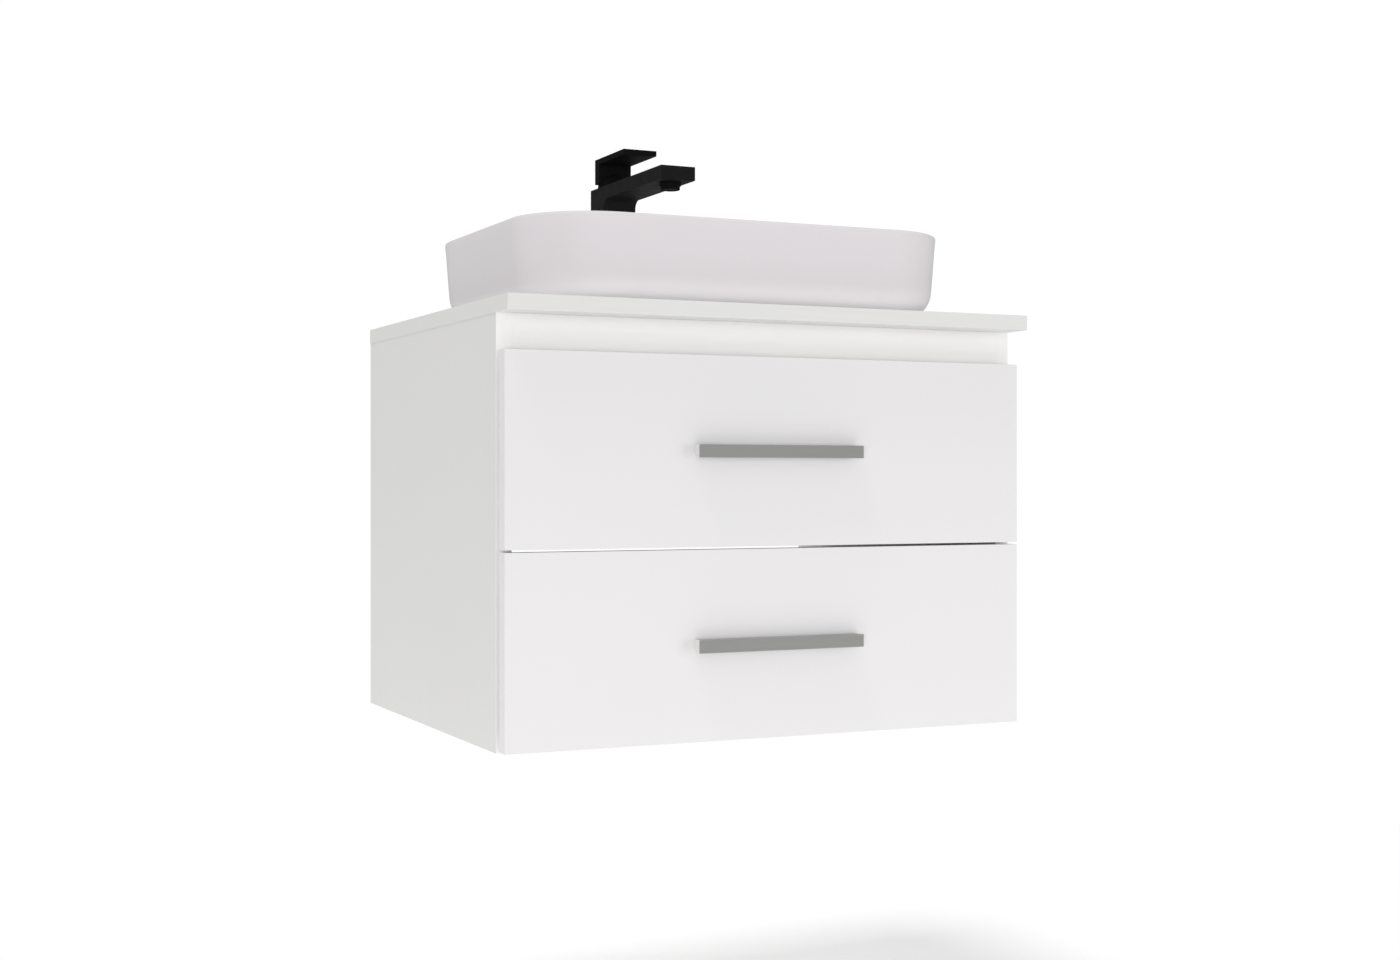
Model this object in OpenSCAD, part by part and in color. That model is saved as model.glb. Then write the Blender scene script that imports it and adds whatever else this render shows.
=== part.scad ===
// Wall-hung vanity with two drawers, a worktop, a vessel sink and a lever tap.
// The wall is the plane Y = 0 and the unit stands out of it towards -Y.
// X = 0 is the middle of its width, and Z = 0 is half way up the cabinet.
// All sizes are in millimetres.

/* [Cabinet] */
// Width of the worktop
top_w = 600; // [590:1:640]
// Depth of the worktop, from the wall to its front edge
top_d = 500; // [495:1:520]
// Height of the cabinet with its worktop
cabinet_h = 448; // [446:1:452]
// Thickness of the worktop and of the cabinet boards
board_t = 16; // [15.5:0.5:16.5]
// How far the sides stop short of the worktop's ends
side_inset = 0.75; // [0:0.25:3]
// How far the front edges of the sides lie behind the worktop's front edge
carcass_setback = 36.5; // [35:0.5:40]
// Height of the rail under the worktop's front edge
front_rail_h = 64; // [56:1:68]
// Height of each rail that the wall bolts go through
wall_rail_h = 80; // [70:1:84]

/* [Wall bolts] */
// Distance between the wall bolts across the unit
bolt_dx = 480; // [420:10:490]
// Distance between the upper and the lower wall bolts
bolt_dz = 320; // [310:5:340]
// Diameter of each wall bolt hole
bolt_hole_d = 8; // [6:0.5:10]

/* [Drawer fronts] */
// Width of a drawer front
front_w = 595; // [588:1:598]
// Height of a drawer front
front_h = 195.5; // [195:0.5:196]
// Distance from the top of the worktop to the top of the upper front
front_drop = 53; // [50:0.5:54]
// Gap between the two fronts
front_gap = 2.5; // [2:0.5:4]
// How far the fronts lie behind the worktop's front edge
front_setback = 16; // [14:0.5:18]

/* [Handles] */
// Length of a handle
handle_l = 190; // [180:1:220]
// Height of a handle
handle_h = 13.2; // [12:0.2:16]
// How far a handle stands out of its drawer front
handle_out = 14; // [13:0.5:20]
// Wall thickness of the handle profile
handle_t = 2.2; // [2:0.1:2.6]
// Distance between the handle's two screws
handle_pitch = 160; // [128:1:168]

/* [Drawer boxes] */
// Thickness of the box boards
box_t = 12; // [11:0.5:13]
// Thickness of the box bottom
box_bottom_t = 6; // [4:0.5:6]
// Height of the upper box
upper_box_h = 130; // [110:1:132]
// Height of the lower box
lower_box_h = 140; // [120:1:142]
// Gap between the back of the boxes and the wall
box_wall_gap = 48; // [44:1:52]
// Inner width of the recess that lets the upper drawer pass the trap
recess_w = 160; // [150:1:180]
// Depth of that recess from the back of the box
recess_d = 272; // [262:1:280]

/* [Runners] */
// Length of a runner
runner_l = 400; // [390:5:404]
// Thickness of a runner
runner_t = 12.7; // [12.5:0.1:13]
// Height of a runner
runner_h = 45.5; // [45:0.5:46]

/* [Sink] */
// Width of the sink
sink_w = 500; // [480:1:520]
// Depth of the sink, front to back
sink_d = 392; // [384:1:394]
// Height of the rim above the worktop
sink_h = 92; // [88:1:96]
// Plan radius of the sink's corners
sink_r = 90; // [80:1:100]
// Distance from the wall to the middle of the sink
sink_y = 260; // [258:1:262]
// Thickness of the rim
rim_t = 9; // [8:0.5:12]
// Thickness of the floor around the drain
floor_t = 13; // [12:0.5:14]

/* [Tap] */
// Width of the tap's column, spout and lever
tap_w = 43; // [42:0.5:44]
// Depth of the column
column_d = 42; // [42:0.5:43]
// Distance from the wall to the column's axis
tap_y = 38; // [37:0.5:40]
// Height of the spout's top above the worktop
spout_top = 183; // [178:1:190]
// Thickness of the spout
spout_t = 16; // [16:0.5:18]
// Distance from the column's axis to the spout's tip
spout_reach = 197.5; // [190:0.5:204]
// Length of the lever plate
lever_l = 93; // [88:1:100]
// Height of the lever's top above the top of the spout
lever_rise = 36.2; // [34:0.2:38]
// Thickness of the lever plate
lever_t = 6.5; // [6:0.5:8]

/* [Drain and trap] */
// Outer diameter of the drain's threaded tube
drain_d = 42; // [41:0.5:42]
// Outer diameter of the trap's pipes
pipe_d = 32; // [31:0.5:32]
// Height of the outlet pipe's axis above the middle of the cabinet
outlet_z = 90; // [86:1:92]

/* [Hidden] */

$fn = 64;

// Extra length of a cutter, so that it passes right through a face
cut = 1;
// Gap around a screw, bolt or tube in its hole
fit_gap = 0.1;

// Screws: radius of the thread, radius of the head and height of the head
bracket_screw = [1.5, 3.6, 2.2];
runner_screw = [1.65, 3.2, 1.2];
front_screw = [1.65, 3.6, 2.2];
handle_screw = [1.9, 4, 2.6];
// How deep a screw bites into a board, and how deep its pilot hole is
screw_depth = 9;
pilot_depth = 10;

// Cabinet planes
top_z = cabinet_h / 2;
under_top = top_z - board_t;
base_z = -cabinet_h / 2;
side_out = top_w / 2 - side_inset;
side_in = side_out - board_t;
carcass_y = carcass_setback - top_d;
front_y = front_setback - top_d;
front_back_y = front_y + board_t;

// Drawer fronts and boxes. The groove for a bottom is half a board deep.
upper_top = top_z - front_drop;
upper_base = upper_top - front_h;
lower_top = upper_base - front_gap;
lower_base = lower_top - front_h;
box_out = side_in - runner_t;
box_in = box_out - box_t;
box_rear_y = -box_wall_gap;
groove_d = box_t / 2;
groove_rise = 10;
upper_box_base = upper_base + 12.5;
lower_box_base = lower_base + 24.5;
front_screw_x = 200;
front_screw_zs = [26, 104];
handle_screw_l = 25;
handle_screw_hole_r = 2.2;
recess_x = recess_w / 2;
recess_y = box_rear_y - recess_d;

// Runners: the back end, and the half heights of the three nested members.
// A row of balls fills the height between two members.
runner_y = -60;
steel_t = 1.2;
ball_space = 3.25;
ball_r = 1.55;
outer_half = runner_h / 2;
middle_half = outer_half - steel_t - ball_space;
inner_half = middle_half - steel_t - ball_space;
outer_lip_x = -10.3;
middle_web_x = -4.3;
inner_lip_x = -5.2;
runner_hole_r = 2;
upper_runner_z = upper_box_base + upper_box_h / 2;
lower_runner_z = lower_box_base + lower_box_h / 2;
runner_screw_ys = [-420, -260, -100];

// Cam fittings: distance of the cam's axis from the board's end, and radii
cam_in = 34;
cam_r = 7.5;
cam_depth = 12.5;
cam_bolt_r = 3.5;
cam_bolt_in_side = 11;
cam_bolt_play = 0.2;
front_rail_z = under_top - front_rail_h / 2;
upper_wall_rail_z = under_top - wall_rail_h / 2;
lower_wall_rail_z = base_z + board_t + wall_rail_h / 2;
bottom_cam_ys = [-430, -60];

// Corner brackets, with a hole in the middle of each leg's free part
bracket_ys = [-430, -150];
bracket_w = 20;
bracket_leg = 24;
bracket_t = 2;
bracket_hole = 16;

// Sink
sink_base = top_z + 1.5;
sink_top = top_z + sink_h;
sink_taper = 0.075;
foot_r = 27;
bowl_taper = 0.16;
bowl_r = 38;
bowl_fall = 3;
drain_z = sink_base + floor_t;
sink_fn = 96;
slice_t = 0.02;

// Drain
drain_r = drain_d / 2;
flange_r = 32;
flange_t = 2.5;
drain_base = under_top - 48;
drain_wall = 3;
gasket_t = 3;
stem_r = 4;
stem_gap = 0.08;
bridge_top = drain_z - 12;
bridge_h = 10;

// Trap
pipe_r = pipe_d / 2;
pipe_wall = 1.5;
bottle_r = 30;
bottle_top = outlet_z + 32;
bottle_base = outlet_z - 30;
cup_base = bottle_base - 35;
bottle_wall = 3;
branch_l = 52;
branch_r = pipe_r + 3.5;
socket_l = 46;

// Tap
tap_half = tap_w / 2;
tap_base = top_z + 1.5;
spout_z = top_z + spout_top;
spout_under = spout_z - spout_t;
spout_tip = -tap_y - spout_reach;
column_front = -tap_y - column_d / 2;
column_rear = -tap_y + column_d / 2;
spout_fillet = 11;
shank_r = 16.4;
shank_base = under_top - 14;
shank_top = tap_base + 14;
inlet_x = 8;
inlet_r = 4.5;
way_r = 3;
cartridge_r = 12.5;
cartridge_base = spout_z - 67;
cartridge_top = spout_z - 21;
nut_seat_r = cartridge_r + 2.5;
dome_r = 19;
dome_gap = 0.4;
dome_z = spout_z + 0.5;
dome_wall = 2.6;
dome_skirt = 7;
leg_seat = 2;
lever_z = spout_z + lever_rise;
leg_d = 13.5;
leg_base = spout_z + 5.4;
lever_front = -tap_y + leg_d / 2 - lever_l;
pin_r = 2;
pin_gap = 0.05;
spindle_r = 9;
spindle_gap = 0.06;
grub_z = leg_base + 9;
grub_r = 2.5;
aerator_y = spout_tip + 22.5;
aerator_r = 12.8;
aerator_neck_r = 11;
aerator_bore_r = 9;
aerator_base = spout_under - 9;
aerator_seat_z = spout_z - 4.5;

// A box given by its two opposite corners
module block(low, high) {
    translate(low)
        cube([high[0] - low[0], high[1] - low[1], high[2] - low[2]]);
}

// A cylinder of radius r from one end to the other along X, Y or Z
module rod_x(x0, x1, y, z, r) {
    translate([x0, y, z]) rotate([0, 90, 0]) cylinder(h = x1 - x0, r = r);
}
module rod_y(y0, y1, x, z, r) {
    translate([x, y0, z]) rotate([-90, 0, 0]) cylinder(h = y1 - y0, r = r);
}
module rod_z(z0, z1, x, y, r) {
    translate([x, y, z0]) cylinder(h = z1 - z0, r = r);
}

// A rectangle with rounded corners, centred on the origin
module round_rect(w, d, r) {
    square([w - 2 * r, d], center = true);
    square([w, d - 2 * r], center = true);
    for (x = [-1, 1], y = [-1, 1])
        translate([x * (w / 2 - r), y * (d / 2 - r)]) circle(r = r);
}

// A tube or ring on the drain's axis
module ring_z(z0, z1, x, y, r_out, r_in) {
    difference() {
        rod_z(z0, z1, x, y, r_out);
        rod_z(z0 - cut, z1 + cut, x, y, r_in);
    }
}

// ---------- Cabinet ----------

// Repeats its children at the four corner brackets. They are drawn for the
// left side, with the corner under the worktop at the origin.
module at_brackets() {
    for (side = [-1, 1], y = bracket_ys)
        translate([side * side_in, y, under_top])
            mirror([side > 0 ? 1 : 0, 0, 0])
                children();
}

module countertop() {
    drain_hole_r = drain_r + 3;
    tap_hole_r = shank_r + 1.1;
    color("#F2F1EF")
    difference() {
        block([-top_w / 2, -top_d, under_top], [top_w / 2, 0, top_z]);
        rod_z(under_top - cut, top_z + cut, 0, -sink_y, drain_hole_r);
        rod_z(under_top - cut, top_z + cut, 0, -tap_y, tap_hole_r);
        at_brackets() rod_z(-cut, pilot_depth, bracket_hole, 0, bracket_screw[0] + fit_gap);
    }
}

// Side board with the blind holes of its cams, brackets and runners.
// side is -1 on the left and 1 on the right.
module side_board(side) {
    color("#EDECEA")
    difference() {
        block(
            [side > 0 ? side_in : -side_out, carcass_y, base_z],
            [side > 0 ? side_out : -side_in, 0, under_top]
        );
        cam_bolt_shapes(cam_bolt_r + fit_gap, cam_bolt_play);
        at_brackets() rod_x(-pilot_depth, cut, 0, -bracket_hole, bracket_screw[0] + fit_gap);
        for (z = [upper_runner_z, lower_runner_z], y = runner_screw_ys)
            rod_x(
                side > 0 ? side_in - cut : -side_in - pilot_depth,
                side > 0 ? side_in + pilot_depth : -side_in + cut,
                y, z, runner_screw[0] + fit_gap
            );
    }
}

module side_left() {
    side_board(-1);
}

module side_right() {
    side_board(1);
}

// Repeats its children at the cam fittings. They are drawn for a board's left
// end, with the middle of that end at the origin.
module at_bottom_cams() {
    for (side = [-1, 1], y = bottom_cam_ys)
        translate([side * side_in, y, base_z + board_t / 2])
            mirror([side > 0 ? 1 : 0, 0, 0])
                children();
}

module at_rail_cams(y, z) {
    for (side = [-1, 1])
        translate([side * side_in, y, z])
            mirror([side > 0 ? 1 : 0, 0, 0])
                children();
}

// Connecting bolt of a cam fitting, from inside the side board to the cam.
// play lengthens its hole.
module cam_bolt(r, play) {
    rod_x(-cam_bolt_in_side - play, cam_in - cam_r, 0, 0, r);
}

module cam_bolt_shapes(r, play) {
    at_bottom_cams() cam_bolt(r, play);
    at_rail_cams(carcass_y + board_t / 2, front_rail_z) cam_bolt(r, play);
    at_rail_cams(-board_t / 2, upper_wall_rail_z) cam_bolt(r, play);
    at_rail_cams(-board_t / 2, lower_wall_rail_z) cam_bolt(r, play);
}

module cam_bolts() {
    color("#B9BBBE") cam_bolt_shapes(cam_bolt_r, 0);
}

// A cam lies in a pocket in the board: in the bottom panel it opens downwards.
// In a rail it opens towards the inside of the cabinet, where inward is 1
// along +Y and -1 along -Y.
module cam_z(r) {
    rod_z(-board_t / 2, cam_depth - board_t / 2, cam_in, 0, r);
}
module cam_y(r, inward) {
    y0 = inward > 0 ? board_t / 2 - cam_depth : -board_t / 2;
    rod_y(y0, y0 + cam_depth, cam_in, 0, r);
}

module cam_shapes(r) {
    at_bottom_cams() cam_z(r);
    at_rail_cams(carcass_y + board_t / 2, front_rail_z) cam_y(r, 1);
    at_rail_cams(-board_t / 2, upper_wall_rail_z) cam_y(r, -1);
    at_rail_cams(-board_t / 2, lower_wall_rail_z) cam_y(r, -1);
}

// Slots across the cams' faces for a screwdriver
module cam_slots() {
    slot_w = 1.6;
    slot_l = 9;
    slot_t = 2;
    at_bottom_cams()
        translate([cam_in, 0, -board_t / 2])
            cube([slot_l, slot_w, 2 * slot_t], center = true);
    at_rail_cams(carcass_y + board_t, front_rail_z)
        translate([cam_in, 0, 0])
            cube([slot_l, 2 * slot_t, slot_w], center = true);
    for (z = [upper_wall_rail_z, lower_wall_rail_z])
        at_rail_cams(-board_t, z)
            translate([cam_in, 0, 0])
                cube([slot_l, 2 * slot_t, slot_w], center = true);
}

module cam_locks() {
    color("#A7A9AC")
    difference() {
        cam_shapes(cam_r - fit_gap);
        cam_slots();
    }
}

// The pockets and bolt holes that every cam-joined board has
module cam_cuts() {
    cam_shapes(cam_r);
    cam_bolt_shapes(cam_bolt_r + fit_gap, 0);
}

module bottom_panel() {
    color("#EDECEA")
    difference() {
        block([-side_in, carcass_y, base_z], [side_in, 0, base_z + board_t]);
        cam_cuts();
    }
}

module front_rail() {
    color("#F0EFED")
    difference() {
        block(
            [-side_in, carcass_y, under_top - front_rail_h],
            [side_in, carcass_y + board_t, under_top]
        );
        cam_cuts();
    }
}

// Rail against the wall, with two bolt holes at bolt_z
module wall_rail(z, bolt_z) {
    difference() {
        block(
            [-side_in, -board_t, z - wall_rail_h / 2],
            [side_in, 0, z + wall_rail_h / 2]
        );
        cam_cuts();
        for (side = [-1, 1])
            rod_y(-board_t - cut, cut, side * bolt_dx / 2, bolt_z, bolt_hole_d / 2);
    }
}

module hanging_rail() {
    color("#EDECEA") wall_rail(upper_wall_rail_z, bolt_dz / 2);
}

module lower_rail() {
    color("#EDECEA") wall_rail(lower_wall_rail_z, -bolt_dz / 2);
}

module top_brackets() {
    hole_r = bracket_screw[0] + 4 * fit_gap;
    color("#C4C6C8")
    at_brackets()
        difference() {
            union() {
                block([0, -bracket_w / 2, -bracket_leg], [bracket_t, bracket_w / 2, 0]);
                block([0, -bracket_w / 2, -bracket_t], [bracket_leg, bracket_w / 2, 0]);
            }
            rod_z(-bracket_t - cut, cut, bracket_hole, 0, hole_r);
            rod_x(-cut, bracket_t + cut, 0, -bracket_hole, hole_r);
        }
}

// Cross-head screw of a kind along +Z, with the underside of its head at Z = 0
module screw(length, kind) {
    cross_w = 0.9;
    head_r = kind[1];
    head_h = kind[2];
    difference() {
        union() {
            rod_z(0, length, 0, 0, kind[0]);
            rod_z(-head_h, 0, 0, 0, head_r);
        }
        for (turn = [0, 90])
            rotate([0, 0, turn])
                translate([0, 0, -head_h])
                    cube([head_r, cross_w, head_h], center = true);
    }
}

module bracket_screws() {
    color("#B4B6B8")
    at_brackets() {
        translate([bracket_hole, 0, -bracket_t])
            screw(bracket_t + screw_depth, bracket_screw);
        translate([bracket_t, 0, -bracket_hole])
            rotate([0, -90, 0]) screw(bracket_t + screw_depth, bracket_screw);
    }
}

// ---------- Runners ----------

// Children are drawn for the right-hand side, with X = 0 on the cabinet side
// and Y = 0 at the runner's back end, and mirrored to the left-hand side
module both_sides(z) {
    for (side = [0, 1])
        mirror([side, 0, 0])
            translate([side_in, runner_y, z])
                children();
}

// Channel of a runner: its web starts at x0, and its lips reach lip_x
module channel(x0, lip_x, half) {
    x1 = x0 + steel_t;
    block([x0, -runner_l, -half], [x1, 0, half]);
    for (s = [-1, 1])
        block(
            [min(x0, lip_x), -runner_l, s > 0 ? half - steel_t : -half],
            [max(x1, lip_x), 0, s > 0 ? half : -half + steel_t]
        );
}

module cabinet_runners() {
    color("#C9CBCD")
    for (z = [upper_runner_z, lower_runner_z])
        both_sides(z)
            difference() {
                channel(-steel_t, outer_lip_x, outer_half);
                for (y = runner_screw_ys)
                    rod_x(-steel_t - cut, cut, y - runner_y, 0, runner_hole_r);
            }
}

module runner_screws() {
    color("#B4B6B8")
    for (z = [upper_runner_z, lower_runner_z])
        both_sides(z)
            for (y = runner_screw_ys)
                translate([-steel_t, y - runner_y, 0])
                    rotate([0, 90, 0]) screw(steel_t + screw_depth, runner_screw);
}

// Three balls in the strip that spaces them, in the middle of a raceway
module ball_cage(x, y0, z) {
    cage_l = 56;
    cage_w = 3;
    cage_t = 0.8;
    ball_end = 8;
    ball_pitch = 20;
    block([x - cage_w / 2, y0, z - cage_t / 2], [x + cage_w / 2, y0 + cage_l, z + cage_t / 2]);
    for (i = [0:2])
        translate([x, y0 + ball_end + ball_pitch * i, z]) sphere(r = ball_r, $fn = 24);
}

// Middle member with its ball cages. The outer balls stay at its back end
// and the inner balls at its front end.
module middle_members(z) {
    outer_ball_x = -6.5;
    inner_ball_x = -7.6;
    back_cage_y = -62;
    front_cage_y = 6 - runner_l;
    both_sides(z) {
        channel(middle_web_x, outer_lip_x, middle_half);
        for (s = [-1, 1]) {
            ball_cage(outer_ball_x, back_cage_y, s * (middle_half + ball_space / 2));
            ball_cage(inner_ball_x, front_cage_y, s * (inner_half + ball_space / 2));
        }
    }
}

module upper_middle_runners() {
    color("#D3D5D7") middle_members(upper_runner_z);
}

module lower_middle_runners() {
    color("#D3D5D7") middle_members(lower_runner_z);
}

// Drawer member, fixed to the box side
module drawer_members(z) {
    both_sides(z)
        difference() {
            channel(-runner_t, inner_lip_x, inner_half);
            for (y = runner_screw_ys)
                rod_x(
                    -runner_t - cut, -runner_t + steel_t + cut,
                    y - runner_y, 0, runner_hole_r
                );
        }
}

module upper_drawer_runners() {
    color("#DCDEE0") drawer_members(upper_runner_z);
}

module lower_drawer_runners() {
    color("#DCDEE0") drawer_members(lower_runner_z);
}

// ---------- Drawers ----------

// Front with blind pilot holes and two through holes for the handle's screws
module drawer_front(base, box_base) {
    color("#EEEDEC")
    difference() {
        block([-front_w / 2, front_y, base], [front_w / 2, front_back_y, base + front_h]);
        for (side = [-1, 1]) {
            rod_y(
                front_y - cut, front_back_y + cut,
                side * handle_pitch / 2, base + front_h / 2, handle_screw_hole_r
            );
            for (dz = front_screw_zs)
                rod_y(
                    front_back_y - pilot_depth, front_back_y + cut,
                    side * front_screw_x, box_base + dz, front_screw[0] + fit_gap
                );
        }
    }
}

module upper_front() {
    drawer_front(upper_base, upper_box_base);
}

module lower_front() {
    drawer_front(lower_base, lower_box_base);
}

// Outline of the handle's end cheek in Y and Z. Its underside rises by
// cheek_rise towards the drawer front.
module handle_end(half) {
    cheek_rise = 4;
    flat_l = 2.8;
    polygon([
        [0, half],
        [-handle_out, half],
        [-handle_out, -half],
        [-handle_out + flat_l, -half],
        [0, -half + cheek_rise]
    ]);
}

// Finger pull: front plate, top web and back flange between two end cheeks,
// with a boss for each screw
module handle(z) {
    half_l = handle_l / 2;
    half_h = handle_h / 2;
    inner_y = -handle_out + handle_t;
    cheek_t = 3;
    flange_back_t = 1.6;
    boss_r = 4.2;
    color("#A2A2A0")
    translate([0, front_y, z])
        difference() {
            union() {
                block([-half_l, -handle_out, -half_h], [half_l, inner_y, half_h]);
                block([-half_l, -handle_out, half_h - handle_t], [half_l, 0, half_h]);
                block([-half_l, -flange_back_t, -flange_back_t], [half_l, 0, half_h]);
                for (side = [-1, 1]) {
                    translate([side * (half_l - cheek_t / 2) - cheek_t / 2, 0, 0])
                        rotate([90, 0, 90]) linear_extrude(cheek_t) handle_end(half_h);
                    rod_y(-handle_out, 0, side * handle_pitch / 2, 0, boss_r);
                }
            }
            for (side = [-1, 1])
                rod_y(inner_y + 0.8, cut, side * handle_pitch / 2, 0, handle_screw[0] + fit_gap);
        }
}

module upper_handle() {
    handle(upper_base + front_h / 2);
}

module lower_handle() {
    handle(lower_base + front_h / 2);
}

// Handle screws, front screws and runner screws of one drawer
module drawer_screws(base, box_base, runner_z) {
    color("#B4B6B8") {
        for (side = [-1, 1]) {
            translate([side * handle_pitch / 2, front_back_y, base + front_h / 2])
                rotate([90, 0, 0]) screw(handle_screw_l, handle_screw);
            for (dz = front_screw_zs)
                translate([side * front_screw_x, front_back_y + box_t, box_base + dz])
                    rotate([90, 0, 0]) screw(box_t + screw_depth, front_screw);
        }
        both_sides(runner_z)
            for (y = runner_screw_ys)
                translate([-runner_t + steel_t, y - runner_y, 0])
                    rotate([0, -90, 0]) screw(steel_t + screw_depth, runner_screw);
    }
}

module upper_drawer_screws() {
    drawer_screws(upper_base, upper_box_base, upper_runner_z);
}

module lower_drawer_screws() {
    drawer_screws(lower_base, lower_box_base, lower_runner_z);
}

// Board behind the front, with a groove for the bottom. Its larger holes give
// room to the heads of the handle's screws.
module box_front(base, box_base, h) {
    inner_y = front_back_y + box_t;
    head_hole_r = handle_screw[1] + 1;
    color("#F1F0EE")
    difference() {
        block([-box_out, front_back_y, box_base], [box_out, inner_y, box_base + h]);
        bottom_shape(box_base, 0);
        for (side = [-1, 1]) {
            rod_y(
                front_back_y - cut, inner_y + cut,
                side * handle_pitch / 2, base + front_h / 2, head_hole_r
            );
            for (dz = front_screw_zs)
                rod_y(
                    front_back_y - cut, inner_y + cut,
                    side * front_screw_x, box_base + dz, front_screw[0] + fit_gap
                );
        }
    }
}

module upper_box_front() {
    box_front(upper_base, upper_box_base, upper_box_h);
}

module lower_box_front() {
    box_front(lower_base, lower_box_base, lower_box_h);
}

// Bottom board: it lies in a groove all round. recess is 1 where it leaves
// room for the trap.
module bottom_shape(box_base, recess) {
    z0 = box_base + groove_rise;
    difference() {
        block(
            [-box_in - groove_d, front_back_y + box_t - groove_d, z0],
            [box_in + groove_d, box_rear_y - box_t + groove_d, z0 + box_bottom_t]
        );
        if (recess > 0)
            block(
                [-recess_x - groove_d, recess_y - groove_d, z0 - cut],
                [recess_x + groove_d, box_rear_y + cut, z0 + box_bottom_t + cut]
            );
    }
}

module upper_bottom() {
    color("#E9E7E3") bottom_shape(upper_box_base, 1);
}

module lower_bottom() {
    color("#E9E7E3") bottom_shape(lower_box_base, 0);
}

// Side board of a box, with the groove and the pilot holes for its runner
module box_side(side, box_base, h, runner_z) {
    color("#F1F0EE")
    difference() {
        block(
            [side > 0 ? box_in : -box_out, front_back_y + box_t, box_base],
            [side > 0 ? box_out : -box_in, box_rear_y, box_base + h]
        );
        bottom_shape(box_base, 0);
        for (y = runner_screw_ys)
            rod_x(
                side > 0 ? box_out - pilot_depth : -box_out - cut,
                side > 0 ? box_out + cut : -box_out + pilot_depth,
                y, runner_z, runner_screw[0] + fit_gap
            );
    }
}

module upper_side_left() {
    box_side(-1, upper_box_base, upper_box_h, upper_runner_z);
}

module upper_side_right() {
    box_side(1, upper_box_base, upper_box_h, upper_runner_z);
}

module lower_side_left() {
    box_side(-1, lower_box_base, lower_box_h, lower_runner_z);
}

module lower_side_right() {
    box_side(1, lower_box_base, lower_box_h, lower_runner_z);
}

// The two back boards of the upper box, one on each side of the recess
module upper_backs() {
    color("#F1F0EE")
    difference() {
        for (side = [0, 1])
            mirror([side, 0, 0])
                block(
                    [recess_x + box_t, box_rear_y - box_t, upper_box_base],
                    [box_in, box_rear_y, upper_box_base + upper_box_h]
                );
        bottom_shape(upper_box_base, 1);
    }
}

// The three boards around the recess, with a hairline joint between them
module upper_recess_walls() {
    top = upper_box_base + upper_box_h;
    joint = 0.1;
    color("#F1F0EE")
    difference() {
        union() {
            for (side = [0, 1])
                mirror([side, 0, 0])
                    block(
                        [recess_x, recess_y + joint, upper_box_base],
                        [recess_x + box_t, box_rear_y, top]
                    );
            block(
                [-recess_x - box_t, recess_y - box_t, upper_box_base],
                [recess_x + box_t, recess_y, top]
            );
        }
        bottom_shape(upper_box_base, 1);
    }
}

module lower_back() {
    color("#F1F0EE")
    difference() {
        block(
            [-box_in, box_rear_y - box_t, lower_box_base],
            [box_in, box_rear_y, lower_box_base + lower_box_h]
        );
        bottom_shape(lower_box_base, 0);
    }
}

// ---------- Sink ----------

// Thin horizontal slice of the sink's plan, drawn in by inset
module sink_slice(z, inset) {
    translate([0, -sink_y, z])
        linear_extrude(slice_t)
            offset(r = sink_r - inset, $fn = sink_fn)
                square([sink_w - 2 * sink_r, sink_d - 2 * sink_r], center = true);
}

// Outside of the sink: walls that lean in towards a rounded foot, and the
// rounded outer edge of the rim
module sink_outside() {
    edge_r = rim_t / 3;
    hull() {
        for (a = [0:15:90])
            let (z = foot_r * (1 - cos(a)), bend = foot_r * (1 - sin(a)))
                sink_slice(sink_base + z, bend + sink_taper * (sink_h - z));
        for (a = [0:30:90])
            let (z = sink_top - edge_r * (1 - sin(a)))
                sink_slice(z - slice_t, edge_r * (1 - cos(a)));
    }
}

// Inside of the bowl, and the rounded inner edge of the rim
module sink_inside() {
    floor_z = drain_z + bowl_fall;
    edge_r = rim_t / 3;
    hull() {
        rod_z(drain_z, drain_z + slice_t, 0, -sink_y, flange_r + 1);
        for (a = [0:15:90])
            let (z = bowl_r * (1 - cos(a)), bend = bowl_r * (1 - sin(a)))
                sink_slice(
                    floor_z + z,
                    rim_t + bend + bowl_taper * (sink_top - floor_z - z)
                );
        sink_slice(sink_top + cut, rim_t - bowl_taper * cut);
    }
    hull() {
        sink_slice(sink_top - edge_r, rim_t);
        sink_slice(sink_top - edge_r / 3, rim_t - edge_r / 3);
        sink_slice(sink_top + slice_t, rim_t - edge_r);
    }
}

module basin() {
    color("#F5F2F4")
    difference() {
        sink_outside();
        sink_inside();
        rod_z(sink_base - cut, drain_z + cut, 0, -sink_y, drain_r + 1.5);
    }
}

// Thin bead of sealant between the sink's foot and the worktop
module basin_seal() {
    bead_w = 6;
    inset = 36;
    color("#F4F4F2")
    translate([0, -sink_y, top_z])
        linear_extrude(sink_base - top_z)
            difference() {
                round_rect(sink_w - 2 * inset, sink_d - 2 * inset, sink_r - inset);
                round_rect(
                    sink_w - 2 * inset - 2 * bead_w,
                    sink_d - 2 * inset - 2 * bead_w,
                    sink_r - inset - bead_w
                );
            }
}

// ---------- Drain ----------

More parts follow.
